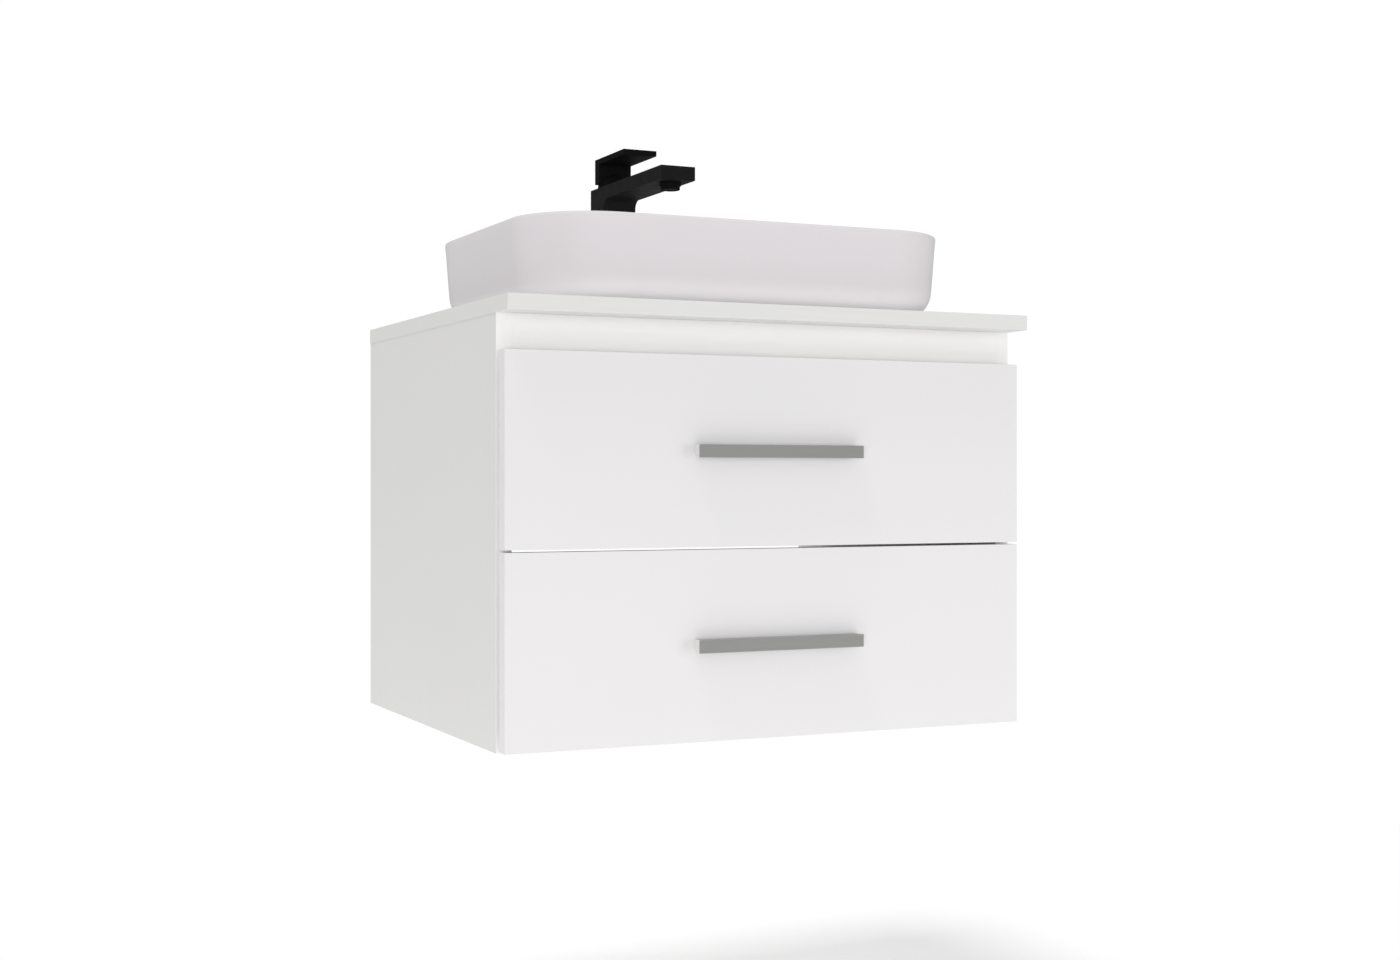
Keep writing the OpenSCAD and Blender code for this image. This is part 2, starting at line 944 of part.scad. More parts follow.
// Flange, threaded tube and the bridge that guides the plug's stem
module drain_body() {
    bridge_t = 4;
    color("#D5D7D9")
    difference() {
        union() {
            difference() {
                union() {
                    rod_z(drain_base, drain_z + 0.5, 0, -sink_y, drain_r);
                    translate([0, -sink_y, drain_z])
                        cylinder(h = flange_t, r1 = flange_r, r2 = flange_r - 2);
                }
                rod_z(
                    drain_base - cut, drain_z + flange_t + cut,
                    0, -sink_y, drain_r - drain_wall
                );
            }
            intersection() {
                for (turn = [0, 90])
                    translate([0, -sink_y, bridge_top - bridge_h / 2])
                        rotate([0, 0, turn])
                            cube([2 * drain_r, bridge_t, bridge_h], center = true);
                rod_z(drain_base, drain_z, 0, -sink_y, drain_r - 1);
            }
            rod_z(bridge_top - bridge_h, bridge_top, 0, -sink_y, stem_r + 3);
        }
        rod_z(
            bridge_top - bridge_h - cut, bridge_top + cut,
            0, -sink_y, stem_r + stem_gap
        );
    }
}

module drain_gasket() {
    color("#2B2B2B")
    ring_z(under_top - gasket_t, under_top, 0, -sink_y, flange_r - 1, drain_r + 2 * fit_gap);
}

module drain_nut() {
    nut_h = 10;
    nut_z = under_top - gasket_t - nut_h;
    color("#D5D7D9")
    difference() {
        translate([0, -sink_y, nut_z]) cylinder(h = nut_h, r = flange_r - 1, $fn = 6);
        rod_z(nut_z - cut, under_top, 0, -sink_y, drain_r + fit_gap);
    }
}

// Push-down plug: bevelled cap on a stem, shown closed
module drain_plug() {
    cap_z = drain_z + flange_t + 2;
    cap_r = 29;
    edge_h = 2;
    bevel_h = 2.2;
    bevel_w = 4;
    stem_l = 32;
    color("#D5D7D9")
    translate([0, -sink_y, 0]) {
        translate([0, 0, cap_z]) cylinder(h = edge_h, r = cap_r);
        translate([0, 0, cap_z + edge_h])
            cylinder(h = bevel_h, r1 = cap_r, r2 = cap_r - bevel_w);
        rod_z(cap_z - stem_l, cap_z, 0, 0, stem_r);
        rod_z(cap_z - 3, cap_z, 0, 0, stem_r + 5);
    }
}

// Ring under the plug's cap, just clear of the flange
module plug_seal() {
    flange_z = drain_z + flange_t;
    color("#2B2B2B") ring_z(flange_z + 0.3, flange_z + 2, 0, -sink_y, 27, 22);
}

// ---------- Trap ----------

// Dip tube, from a collar under the drain down into the bottle
module trap_inlet_tube() {
    tube_base = bottle_base - 14;
    collar_t = 2;
    color("#E6E7E8")
    difference() {
        union() {
            rod_z(tube_base, drain_base, 0, -sink_y, pipe_r);
            rod_z(drain_base - collar_t, drain_base, 0, -sink_y, drain_r - 1);
        }
        rod_z(tube_base - cut, drain_base + cut, 0, -sink_y, pipe_r - pipe_wall);
    }
}

// Grooves around a nut or cup for the hand, cut with rods of radius r
module grip(z0, z1, circle_r, r, step) {
    for (turn = [0:step:360 - step])
        translate([0, -sink_y, z0])
            rotate([0, 0, turn])
                translate([circle_r, 0, 0]) cylinder(h = z1 - z0, r = r);
}

module trap_inlet_nut() {
    nut_base = drain_base - 10;
    nut_top = drain_base + 13;
    shoulder = drain_base - 2.2;
    nut_r = drain_r + 5;
    color("#DADBDC")
    difference() {
        rod_z(nut_base, nut_top, 0, -sink_y, nut_r);
        rod_z(shoulder, nut_top + cut, 0, -sink_y, drain_r + fit_gap);
        rod_z(nut_base - cut, drain_base, 0, -sink_y, pipe_r + fit_gap);
        grip(nut_base - cut, nut_top + cut, nut_r + 1.2, 2.2, 30);
    }
}

// Bottle with its collar and the branch to the outlet pipe
module trap_body() {
    collar_top = bottle_top + 12;
    branch_end = -sink_y + branch_l;
    color("#E6E7E8")
    difference() {
        union() {
            rod_z(bottle_base, bottle_top, 0, -sink_y, bottle_r);
            rod_z(bottle_top, collar_top, 0, -sink_y, pipe_r + 5);
            rod_y(-sink_y, branch_end, 0, outlet_z, branch_r);
        }
        rod_z(
            bottle_base - cut, bottle_top - bottle_wall,
            0, -sink_y, bottle_r - bottle_wall
        );
        rod_z(bottle_base, collar_top + cut, 0, -sink_y, pipe_r + fit_gap);
        rod_y(
            -sink_y + bottle_r - 2 * bottle_wall, branch_end + cut,
            0, outlet_z, pipe_r + fit_gap
        );
    }
}

// Screw-off cup that is emptied when the trap is cleaned
module trap_cup() {
    cup_r = bottle_r + 3;
    cup_top = bottle_base + 10;
    bevel = 4;
    cup_floor = 3.5;
    color("#DADBDC")
    difference() {
        union() {
            rod_z(cup_base + bevel, cup_top, 0, -sink_y, cup_r);
            translate([0, -sink_y, cup_base]) cylinder(h = bevel, r1 = cup_r - bevel, r2 = cup_r);
        }
        rod_z(bottle_base - 2 * fit_gap, cup_top + cut, 0, -sink_y, bottle_r + fit_gap);
        rod_z(cup_base + cup_floor, bottle_base, 0, -sink_y, bottle_r - bottle_wall);
        grip(bottle_base - 6, cup_top + cut, cup_r + 1, 2, 20);
    }
}

module trap_outlet_nut() {
    overlap = 12;
    y0 = -sink_y + branch_l - overlap;
    y1 = y0 + 22;
    color("#DADBDC")
    difference() {
        rod_y(y0, y1, 0, outlet_z, pipe_r + 8);
        rod_y(y0 - cut, y0 + overlap + 2 * fit_gap, 0, outlet_z, branch_r + fit_gap);
        rod_y(y0, y1 + cut, 0, outlet_z, pipe_r + fit_gap);
    }
}

// Pipe to the wall, with a bead that stops the socket it is pushed into
module trap_outlet_pipe() {
    bead_w = 4;
    bead_rise = 2;
    color("#E6E7E8")
    difference() {
        union() {
            rod_y(-sink_y + bottle_r - 2, 0, 0, outlet_z, pipe_r);
            rod_y(-socket_l - bead_w, -socket_l, 0, outlet_z, pipe_r + bead_rise);
        }
        rod_y(-sink_y, cut, 0, outlet_z, pipe_r - pipe_wall);
    }
}

// ---------- Tap ----------

// Side outline of the column and spout, in Y and Z
module tap_outline() {
    difference() {
        union() {
            translate([column_front, tap_base]) square([column_d, spout_z - tap_base]);
            translate([spout_tip, spout_under]) square([column_rear - spout_tip, spout_t]);
            translate([column_front - spout_fillet, spout_under - spout_fillet])
                square([spout_fillet + 1, spout_fillet + 1]);
        }
        translate([column_front - spout_fillet, spout_under - spout_fillet])
            circle(r = spout_fillet);
    }
}

module tap_body() {
    riser_y = column_front + 3.5;
    riser_r = 2;
    knee_z = spout_z - 21;
    way_z = spout_z - spout_t / 2;
    way_y = column_front - 9;
    color("#1C1C1C")
    difference() {
        translate([-tap_half, 0, 0])
            rotate([90, 0, 90]) linear_extrude(tap_w) tap_outline();
        // Seat of the shank, and the two ways up to the cartridge
        rod_z(tap_base - cut, shank_top, 0, -tap_y, shank_r);
        for (side = [-1, 1])
            rod_z(shank_top - cut, cartridge_base + cut, side * inlet_x, -tap_y, way_r);
        // Chamber of the cartridge, its nut and the lever's dome
        rod_z(cartridge_base, spout_z, 0, -tap_y, cartridge_r + fit_gap);
        rod_z(cartridge_top, spout_z, 0, -tap_y, nut_seat_r);
        rod_z(cartridge_top + 6, spout_z + cut, 0, -tap_y, dome_r + dome_gap);
        // Way to the spout: riser, slanted knee and a long bore to the outlet
        rod_z(cartridge_base + riser_r, knee_z, 0, riser_y, riser_r);
        rod_y(riser_y, -tap_y, 0, cartridge_base + 2 * riser_r, riser_r);
        translate([0, riser_y, knee_z])
            rotate([atan2(riser_y - way_y, way_z - knee_z), 0, 0])
                cylinder(h = norm([riser_y - way_y, way_z - knee_z]), r = riser_r);
        rod_y(aerator_y, way_y + way_r / 2, 0, way_z, way_r);
        rod_z(spout_under - cut, aerator_seat_z, 0, aerator_y, aerator_neck_r);
    }
}

module tap_base_seal() {
    inset = 0.8;
    color("#2B2B2B")
    translate([0, -tap_y, top_z])
        linear_extrude(tap_base - top_z)
            difference() {
                round_rect(tap_w - 2 * inset, column_d - 2 * inset, 2);
                circle(r = shank_r + 0.6);
            }
}

// Threaded shank with two water ways, and a threaded hose socket under each
module tap_shank() {
    socket_h = 12;
    socket_r = inlet_r + 3;
    socket_top = shank_base - fit_gap;
    color("#B79A5B") {
        difference() {
            rod_z(shank_base, shank_top, 0, -tap_y, shank_r);
            for (side = [-1, 1])
                rod_z(shank_base - cut, shank_top + cut, side * inlet_x, -tap_y, way_r);
        }
        for (side = [-1, 1])
            difference() {
                rod_z(socket_top - socket_h, socket_top, side * inlet_x, -tap_y, socket_r);
                rod_z(socket_top - socket_h - cut, socket_top + cut, side * inlet_x, -tap_y, inlet_r);
            }
    }
}

// Hexagon nut with a round collar against the worktop
module tap_nut() {
    nut_h = 9;
    nut_r = 23;
    collar_t = 2;
    nut_z = under_top - collar_t - nut_h;
    color("#B79A5B")
    difference() {
        union() {
            translate([0, -tap_y, nut_z]) cylinder(h = nut_h, r = nut_r, $fn = 6);
            rod_z(under_top - collar_t, under_top, 0, -tap_y, nut_r - 1.5);
        }
        rod_z(nut_z - cut, under_top + cut, 0, -tap_y, shank_r + fit_gap);
    }
}

// Valve body with the seat of the spindle above and two ways below
module tap_cartridge() {
    color("#E8E4D8")
    difference() {
        rod_z(cartridge_base + 2 * fit_gap, cartridge_top, 0, -tap_y, cartridge_r);
        rod_z(cartridge_top - 14, cartridge_top + cut, 0, -tap_y, spindle_r + spindle_gap);
        for (side = [-1, 1])
            rod_z(cartridge_base, cartridge_top - 20, side * inlet_x, -tap_y, way_r);
    }
}

module cartridge_nut() {
    nut_h = 5.5;
    color("#B79A5B")
    ring_z(
        cartridge_top, cartridge_top + nut_h,
        0, -tap_y, nut_seat_r - fit_gap, spindle_r + 0.6
    );
}

// Round outlet with a bevelled lower edge, and its neck inside the spout
module aerator_housing() {
    bevel_h = 1;
    bevel_w = 0.8;
    neck_top = aerator_seat_z - 1.5;
    color("#1C1C1C")
    difference() {
        union() {
            rod_z(aerator_base + bevel_h, spout_under, 0, aerator_y, aerator_r);
            translate([0, aerator_y, aerator_base])
                cylinder(h = bevel_h, r1 = aerator_r - bevel_w, r2 = aerator_r);
            rod_z(spout_under, neck_top, 0, aerator_y, aerator_neck_r - fit_gap);
        }
        rod_z(aerator_base - cut, neck_top + cut, 0, aerator_y, aerator_bore_r);
    }
}

// Round insert with two rings of small holes
module aerator_insert() {
    recess = 1.2;
    insert_h = 7.8;
    hole_r = 0.9;
    ring_step = 3.2;
    z0 = aerator_base + recess;
    color("#3A3A3A")
    difference() {
        rod_z(z0, z0 + insert_h, 0, aerator_y, aerator_bore_r - 0.05);
        for (ring = [1, 2], i = [0:6 * ring - 1])
            translate([0, aerator_y, z0 - cut])
                rotate([0, 0, i * 60 / ring])
                    translate([ring_step * ring, 0, 0])
                        cylinder(h = insert_h + 2 * cut, r = hole_r);
    }
}

// Turning part of the cartridge, with the two ears that hold the lever's pin
module tap_spindle() {
    ear_gap = 3.3;
    ear_d = 9;
    ear_base = cartridge_top + 9;
    ear_top = dome_z + 4;
    color("#C8B98C")
    difference() {
        union() {
            rod_z(cartridge_top - 13.5, ear_base + 1, 0, -tap_y, spindle_r);
            intersection() {
                block(
                    [-spindle_r, -tap_y - ear_d / 2, ear_base],
                    [spindle_r, -tap_y + ear_d / 2, ear_top]
                );
                rod_z(cartridge_top, ear_top + cut, 0, -tap_y, spindle_r);
            }
        }
        block(
            [-ear_gap, -tap_y - spindle_r - cut, ear_base + 2],
            [ear_gap, -tap_y + spindle_r + cut, ear_top + cut]
        );
        rod_x(-spindle_r - cut, spindle_r + cut, -tap_y, dome_z, pin_r);
    }
}

module lever_pin() {
    pin_half = 8.6;
    color("#C7C9CB") rod_x(-pin_half, pin_half, -tap_y, dome_z, pin_r);
}

// Round dome that turns and tilts with the lever. The leg stands in a slot
// across it.
module lever_dome() {
    slot_z = leg_base - dome_z + leg_seat;
    color("#1C1C1C")
    translate([0, -tap_y, dome_z])
        difference() {
            sphere(r = dome_r);
            sphere(r = dome_r - dome_wall);
            block([-tap_half, -tap_half, -dome_r], [tap_half, tap_half, -dome_skirt]);
            block([-tap_half, -leg_d / 2, slot_z], [tap_half, leg_d / 2, dome_r]);
        }
}

// Lever: a flat plate on an upright leg, with a tongue on the spindle's pin.
// The leg's foot is hollowed where it stands over the dome.
module tap_lever() {
    leg_y0 = -tap_y - leg_d / 2;
    leg_y1 = -tap_y + leg_d / 2;
    seat_z = leg_base + leg_seat;
    tongue_x = 3;
    tongue_r = 4.4;
    color("#1C1C1C")
    difference() {
        union() {
            block([-tap_half, lever_front, lever_z - lever_t], [tap_half, leg_y1, lever_z]);
            difference() {
                block([-tap_half, leg_y0, leg_base], [tap_half, leg_y1, lever_z]);
                intersection() {
                    translate([0, -tap_y, dome_z]) sphere(r = dome_r);
                    block([-tap_w, leg_y0 - cut, spout_z], [tap_w, leg_y1 + cut, seat_z]);
                }
            }
            block(
                [-tongue_x, -tap_y - tongue_r, dome_z - tongue_r],
                [tongue_x, -tap_y + tongue_r, seat_z + cut]
            );
        }
        rod_x(-tongue_x - cut, tongue_x + cut, -tap_y, dome_z, pin_r + pin_gap);
        rod_y(leg_y0 + 4, leg_y1 + cut, 0, grub_z, grub_r);
    }
}

// Grub screw in the back of the leg, with a hexagon socket
module lever_screw() {
    screw_end = -tap_y + leg_d / 2 - 1;
    screw_l = 7;
    socket_r = 1.4;
    socket_depth = 2.5;
    color("#8A8C8E")
    difference() {
        rod_y(screw_end - screw_l, screw_end, 0, grub_z, grub_r - 0.05);
        translate([0, screw_end - socket_depth, grub_z])
            rotate([-90, 0, 0]) cylinder(h = socket_depth + cut, r = socket_r, $fn = 6);
    }
}

countertop();
side_left();
side_right();
bottom_panel();
front_rail();
hanging_rail();
lower_rail();
cam_locks();
cam_bolts();
top_brackets();
bracket_screws();
cabinet_runners();
runner_screws();
upper_middle_runners();
lower_middle_runners();
upper_front();
upper_handle();
upper_drawer_screws();
upper_box_front();
upper_side_left();
upper_side_right();
upper_backs();
upper_recess_walls();
upper_bottom();
upper_drawer_runners();
lower_front();
lower_handle();
lower_drawer_screws();
lower_box_front();
lower_side_left();
lower_side_right();
lower_back();
lower_bottom();
lower_drawer_runners();
basin();
basin_seal();
drain_body();
drain_gasket();
drain_nut();
drain_plug();
plug_seal();
trap_inlet_tube();
trap_inlet_nut();
trap_body();
trap_cup();
trap_outlet_nut();
trap_outlet_pipe();
tap_body();
tap_base_seal();
tap_shank();
tap_nut();
tap_cartridge();
cartridge_nut();
aerator_housing();
aerator_insert();
tap_spindle();
lever_pin();
lever_dome();
tap_lever();
lever_screw();
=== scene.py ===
import math

import bmesh
import bpy
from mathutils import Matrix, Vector


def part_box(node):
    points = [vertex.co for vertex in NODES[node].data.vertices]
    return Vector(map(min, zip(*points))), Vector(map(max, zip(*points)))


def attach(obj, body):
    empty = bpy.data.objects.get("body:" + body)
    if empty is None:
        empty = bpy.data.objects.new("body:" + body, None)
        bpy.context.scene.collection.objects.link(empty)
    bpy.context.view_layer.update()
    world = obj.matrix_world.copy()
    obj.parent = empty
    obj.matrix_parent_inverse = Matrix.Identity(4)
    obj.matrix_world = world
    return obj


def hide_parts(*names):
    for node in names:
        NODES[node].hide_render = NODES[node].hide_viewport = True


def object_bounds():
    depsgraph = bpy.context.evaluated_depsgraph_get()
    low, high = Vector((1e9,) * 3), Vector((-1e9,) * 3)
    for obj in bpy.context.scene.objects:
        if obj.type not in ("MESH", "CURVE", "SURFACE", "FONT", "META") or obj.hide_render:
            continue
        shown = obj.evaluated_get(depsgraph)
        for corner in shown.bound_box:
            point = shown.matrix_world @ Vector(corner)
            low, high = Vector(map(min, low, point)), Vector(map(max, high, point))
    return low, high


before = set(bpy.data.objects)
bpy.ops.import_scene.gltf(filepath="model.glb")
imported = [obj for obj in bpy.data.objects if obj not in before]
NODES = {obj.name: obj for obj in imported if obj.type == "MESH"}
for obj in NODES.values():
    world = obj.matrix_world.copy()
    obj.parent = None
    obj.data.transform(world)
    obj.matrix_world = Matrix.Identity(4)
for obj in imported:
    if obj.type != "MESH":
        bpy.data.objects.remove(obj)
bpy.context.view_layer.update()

MM = 0.001

# ---------- Camera, floor and light ----------

CAMERA_PLACE = (-0.8948, -2.2056, 0.0438)
CAMERA_TURN = 25.153        # degrees to the right of the wall's normal
CAMERA_LENS = 48.12         # mm, on a sensor of the width below
CAMERA_SENSOR = 36.0
CAMERA_SHIFT = -0.0014
FLOOR_DROP = 0.356          # from the cabinet's underside to the floor
FLOOR_SIZE = 3.4
FLOOR_CELLS = 24
FLOOR_COLOUR = (0.85, 0.85, 0.85)
FLOOR_GLOW = 0.295
SKY_COLOUR = (1, 1, 1, 1)
SKY_SEEN = 1.02             # the backdrop's strength to the camera
SKY_LIGHT = 0.50            # and its strength as light
LAMPS = {
    # where the light comes from, its power, and its spread in degrees
    "key": ((-0.31, -0.08, 1.0), 1.0, 15.0),
    "fill_left": ((-0.70, -1.0, 0.0), 0.76, 24.0),
    "fill_right": ((0.90, -0.80, 0.0), 0.60, 30.0),
    "back": ((0.25, 1.0, 0.0), 0.35, 40.0),
}


# ---------- Material helpers ----------

NOISE_LOW = 0.3             # most of a noise's values lie between these two
NOISE_HIGH = 0.7
MIX_FIRST = 6               # a Mix node's sockets for colours
MIX_SECOND = 7
MIX_RESULT = 2


def new_material(name, colour, roughness, metallic=0.0, **sockets):
    """A Principled material. Every constant is set on the shader's own socket."""
    material = bpy.data.materials.new(name)
    material.use_nodes = True
    tree = material.node_tree
    shader = tree.nodes["Principled BSDF"]
    shader.inputs["Base Color"].default_value = (*colour, 1.0)
    shader.inputs["Roughness"].default_value = roughness
    shader.inputs["Metallic"].default_value = metallic
    for socket, value in sockets.items():
        shader.inputs[socket.replace("_", " ")].default_value = value
    return material, tree, shader


def add_node(tree, kind, inputs=None, **settings):
    """A node with its settings, and inputs that are values or other sockets."""
    node = tree.nodes.new(kind)
    for key, value in settings.items():
        setattr(node, key, value)
    for key, value in (inputs or {}).items():
        if isinstance(value, bpy.types.NodeSocket):
            tree.links.new(value, node.inputs[key])
        else:
            node.inputs[key].default_value = value
    return node


def position(tree):
    """The place on the surface, in metres in the row frame."""
    return add_node(tree, "ShaderNodeTexCoord").outputs["Object"]


def position_along(tree, axis):
    """The place on the surface along one axis."""
    return add_node(tree, "ShaderNodeSeparateXYZ", {"Vector": position(tree)}).outputs[axis]


def noise(tree, scale, detail=3.0, roughness=0.5):
    """Noise in the row frame; scale is per metre, one value or one for each axis."""
    steps = scale if isinstance(scale, tuple) else (scale, scale, scale)
    mapping = add_node(tree, "ShaderNodeMapping", {"Vector": position(tree), "Scale": steps})
    texture = add_node(
        tree, "ShaderNodeTexNoise",
        {"Vector": mapping.outputs["Vector"], "Scale": 1.0, "Detail": detail, "Roughness": roughness},
    )
    return texture.outputs["Fac"]


def stretched(along, coarse, fine):
    """Noise scales that draw a pattern out along one axis."""
    return tuple(coarse if axis == along else fine for axis in "xyz")


def map_range(tree, value, start, end, low=0.0, high=1.0, **settings):
    """Goes from low to high while a value goes from start to end."""
    node = add_node(
        tree, "ShaderNodeMapRange",
        {"Value": value, "From Min": start, "From Max": end, "To Min": low, "To Max": high},
        **settings,
    )
    return node.outputs["Result"]


def ramp(tree, factor, first, second, start=0.0, end=1.0):
    """A colour that goes from first to second while a factor goes from start to end."""
    node = add_node(tree, "ShaderNodeValToRGB", {"Fac": factor})
    stops = node.color_ramp.elements
    stops[0].position = start
    stops[0].color = (*first, 1.0)
    stops[1].position = end
    stops[1].color = (*second, 1.0)
    return node.outputs["Color"]


def tint(tree, shader, factor, dark, light):
    """Base colour that wanders between two near colours."""
    colour = ramp(tree, factor, dark, light, NOISE_LOW, NOISE_HIGH)
    tree.links.new(colour, shader.inputs["Base Color"])


def gloss(tree, shader, factor, low, high):
    """Roughness that wanders between two values."""
    roughness = map_range(tree, factor, NOISE_LOW, NOISE_HIGH, low, high)
    tree.links.new(roughness, shader.inputs["Roughness"])


def bumps(tree, shader, layers):
    """Stacks bump layers of (height, depth in metres, strength)."""
    normal = None
    for height, depth, strength in layers:
        inputs = {"Height": height, "Distance": depth, "Strength": strength}
        if normal:
            inputs["Normal"] = normal
        normal = add_node(tree, "ShaderNodeBump", inputs).outputs["Normal"]
    tree.links.new(normal, shader.inputs["Normal"])


def shade(colour, factor):
    """The same colour, darker or lighter."""
    return tuple(channel * factor for channel in colour)


# ---------- Materials ----------

BOARD_WHITE = (0.860, 0.855, 0.843)
# painted light: a lighter copy of the board white, which lifts the shade of the rail in its recess
# under the worktop; the side boards' front edges take it too
RAIL_PAINTED_LIGHT_WHITE = (0.960, 0.955, 0.945)
# painted shade: a darker copy of the board white, which shades the upright sides against the front
SIDE_PAINTED_SHADE_WHITE = (0.808, 0.804, 0.794)
WORKTOP_WHITE = (0.812, 0.808, 0.797)
FRONT_WHITE = (0.862, 0.848, 0.855)
GLAZE_WHITE = (0.806, 0.774, 0.796)
# painted light: a lighter glaze colour up to this height over the sink's base, which lifts the shade
# where the sink meets the worktop
GLAZE_FOOT_PAINTED_LIGHT = (0.955, 0.932, 0.950)
GLAZE_PAINTED_LIGHT_HEIGHT = 32 * MM
LIT_EDGE_THICK = 0.8 * MM      # depth of the lighter colour on a board's front edge: an edge band, with painted light in its colour
LIT_EDGE_SEAM = 0.2 * MM       # over which its colour gives way to the board's


def board_material(name, colour, along, roughness=0.46, streak=0.012, painted_lit_edge=None):
    """Melamine-faced board: faint streaks that run along one axis, and a fine print texture.

    A pair of (y, colour) paints the board's front edge, ahead of y, lighter: a glued edge band whose
    lighter colour is painted light.
    """
    material, tree, shader = new_material(name, colour, roughness)
    streaks = noise(tree, stretched(along, 7.0, 260.0), detail=4.0)
    pores = noise(tree, 2600.0, detail=2.0)
    cloud = noise(tree, 5.0, detail=2.0)
    tint(tree, shader, streaks, shade(colour, 1 - streak), shade(colour, 1 + streak))
    if painted_lit_edge:
        add_painted_lit_edge(tree, shader, *painted_lit_edge)
    gloss(tree, shader, cloud, roughness - 0.05, roughness + 0.05)
    bumps(tree, shader, [(streaks, 0.06 * MM, 0.35), (pores, 0.03 * MM, 0.35)])
    return material


def add_painted_lit_edge(tree, shader, seam_y, colour):
    """Paints the front edge in a lighter colour over the board's own, from the seam forwards: painted
    light on the edge band.
    """
    board_colour = shader.inputs["Base Color"].links[0].from_socket
    # painted light mask: 0 on the front edge, which takes the lighter colour, and 1 behind the seam
    behind = map_range(tree, position_along(tree, "Y"), seam_y, seam_y + LIT_EDGE_SEAM)
    mixed = add_node(
        tree, "ShaderNodeMix",
        {0: behind, MIX_FIRST: (*colour, 1.0), MIX_SECOND: board_colour},
        data_type="RGBA",
    )
    tree.links.new(mixed.outputs[MIX_RESULT], shader.inputs["Base Color"])


def lacquer_material(name, colour, roughness=0.36):
    """Sprayed lacquer: even colour, a very fine orange peel and a soft sheen."""
    material, tree, shader = new_material(name, colour, roughness)
    peel = noise(tree, 900.0, detail=1.0)
    cloud = noise(tree, 3.0, detail=2.0)
    tint(tree, shader, cloud, shade(colour, 0.995), shade(colour, 1.005))
    gloss(tree, shader, cloud, roughness - 0.03, roughness + 0.03)
    bumps(tree, shader, [(peel, 0.04 * MM, 0.3)])
    return material


def ceramic_material(name, colour, foot_painted_light, foot_low, foot_high):
    """White glaze over a fired body: glossy and slowly waved, with painted light that makes it
    lighter towards the foot, over the shade where the sink meets the worktop.
    """
    material, tree, shader = new_material(name, colour, 0.12, Specular_IOR_Level=0.45)
    wave = noise(tree, 16.0, detail=2.0)
    specks = noise(tree, 420.0, detail=2.0)
    # painted light: the colour runs from the lighter foot colour at the base to the glaze white above
    # it
    height = map_range(
        tree, position_along(tree, "Z"), foot_low, foot_high, interpolation_type="SMOOTHSTEP"
    )
    speckled = add_node(
        tree, "ShaderNodeMath", {0: specks, 1: 0.02, 2: height}, operation="MULTIPLY_ADD"
    )
    glaze = ramp(tree, speckled.outputs["Value"], foot_painted_light, colour)
    tree.links.new(glaze, shader.inputs["Base Color"])
    gloss(tree, shader, wave, 0.09, 0.15)
    bumps(tree, shader, [(wave, 1.2 * MM, 0.18), (specks, 0.02 * MM, 0.2)])
    return material


def powder_material(name, colour, sheen, roughness=0.60):
    """Matt black powder coat with its fine grain; sheen is its specular level."""
    material, tree, shader = new_material(name, colour, roughness, Specular_IOR_Level=sheen, IOR=1.3)
    grain = noise(tree, 2400.0, detail=2.0)
    cloud = noise(tree, 60.0, detail=3.0)
    tint(tree, shader, grain, shade(colour, 0.75), shade(colour, 1.35))
    gloss(tree, shader, cloud, roughness - 0.05, roughness + 0.07)
    bumps(tree, shader, [(grain, 0.05 * MM, 0.5)])
    return material


def brushed_material(name, colour, along, roughness, spread=0.08):
    """Brushed and anodised metal: fine scratches along one axis under a matt oxide skin."""
    material, tree, shader = new_material(name, colour, roughness, metallic=0.5, Anisotropic=0.4)
    scratches = noise(tree, stretched(along, 12.0, 2600.0), detail=3.0, roughness=0.6)
    tint(tree, shader, scratches, shade(colour, 0.93), shade(colour, 1.06))
    gloss(tree, shader, scratches, roughness - spread, roughness + spread)
    bumps(tree, shader, [(scratches, 0.02 * MM, 0.4)])
    return material


def metal_material(name, colour, roughness, grain_scale, spread=0.06, depth=0.02 * MM):
    """Plated or machined metal with a grain in its gloss and its tone."""
    material, tree, shader = new_material(name, colour, roughness, metallic=1.0)
    grain = noise(tree, grain_scale, detail=3.0)
    tint(tree, shader, grain, shade(colour, 0.94), shade(colour, 1.05))
    gloss(tree, shader, grain, roughness - spread, roughness + spread)
    bumps(tree, shader, [(grain, depth, 0.3)])
    return material


def moulded_material(name, colour, roughness, grain_scale=700.0, specular=0.5):
    """Moulded plastic, rubber or silicone: even colour, fine surface grain."""
    material, tree, shader = new_material(name, colour, roughness, Specular_IOR_Level=specular)
    grain = noise(tree, grain_scale, detail=2.0)
    cloud = noise(tree, 40.0, detail=2.0)
    tint(tree, shader, cloud, shade(colour, 0.97), shade(colour, 1.03))
    gloss(tree, shader, cloud, roughness - 0.05, roughness + 0.05)
    bumps(tree, shader, [(grain, 0.04 * MM, 0.35)])
    return material


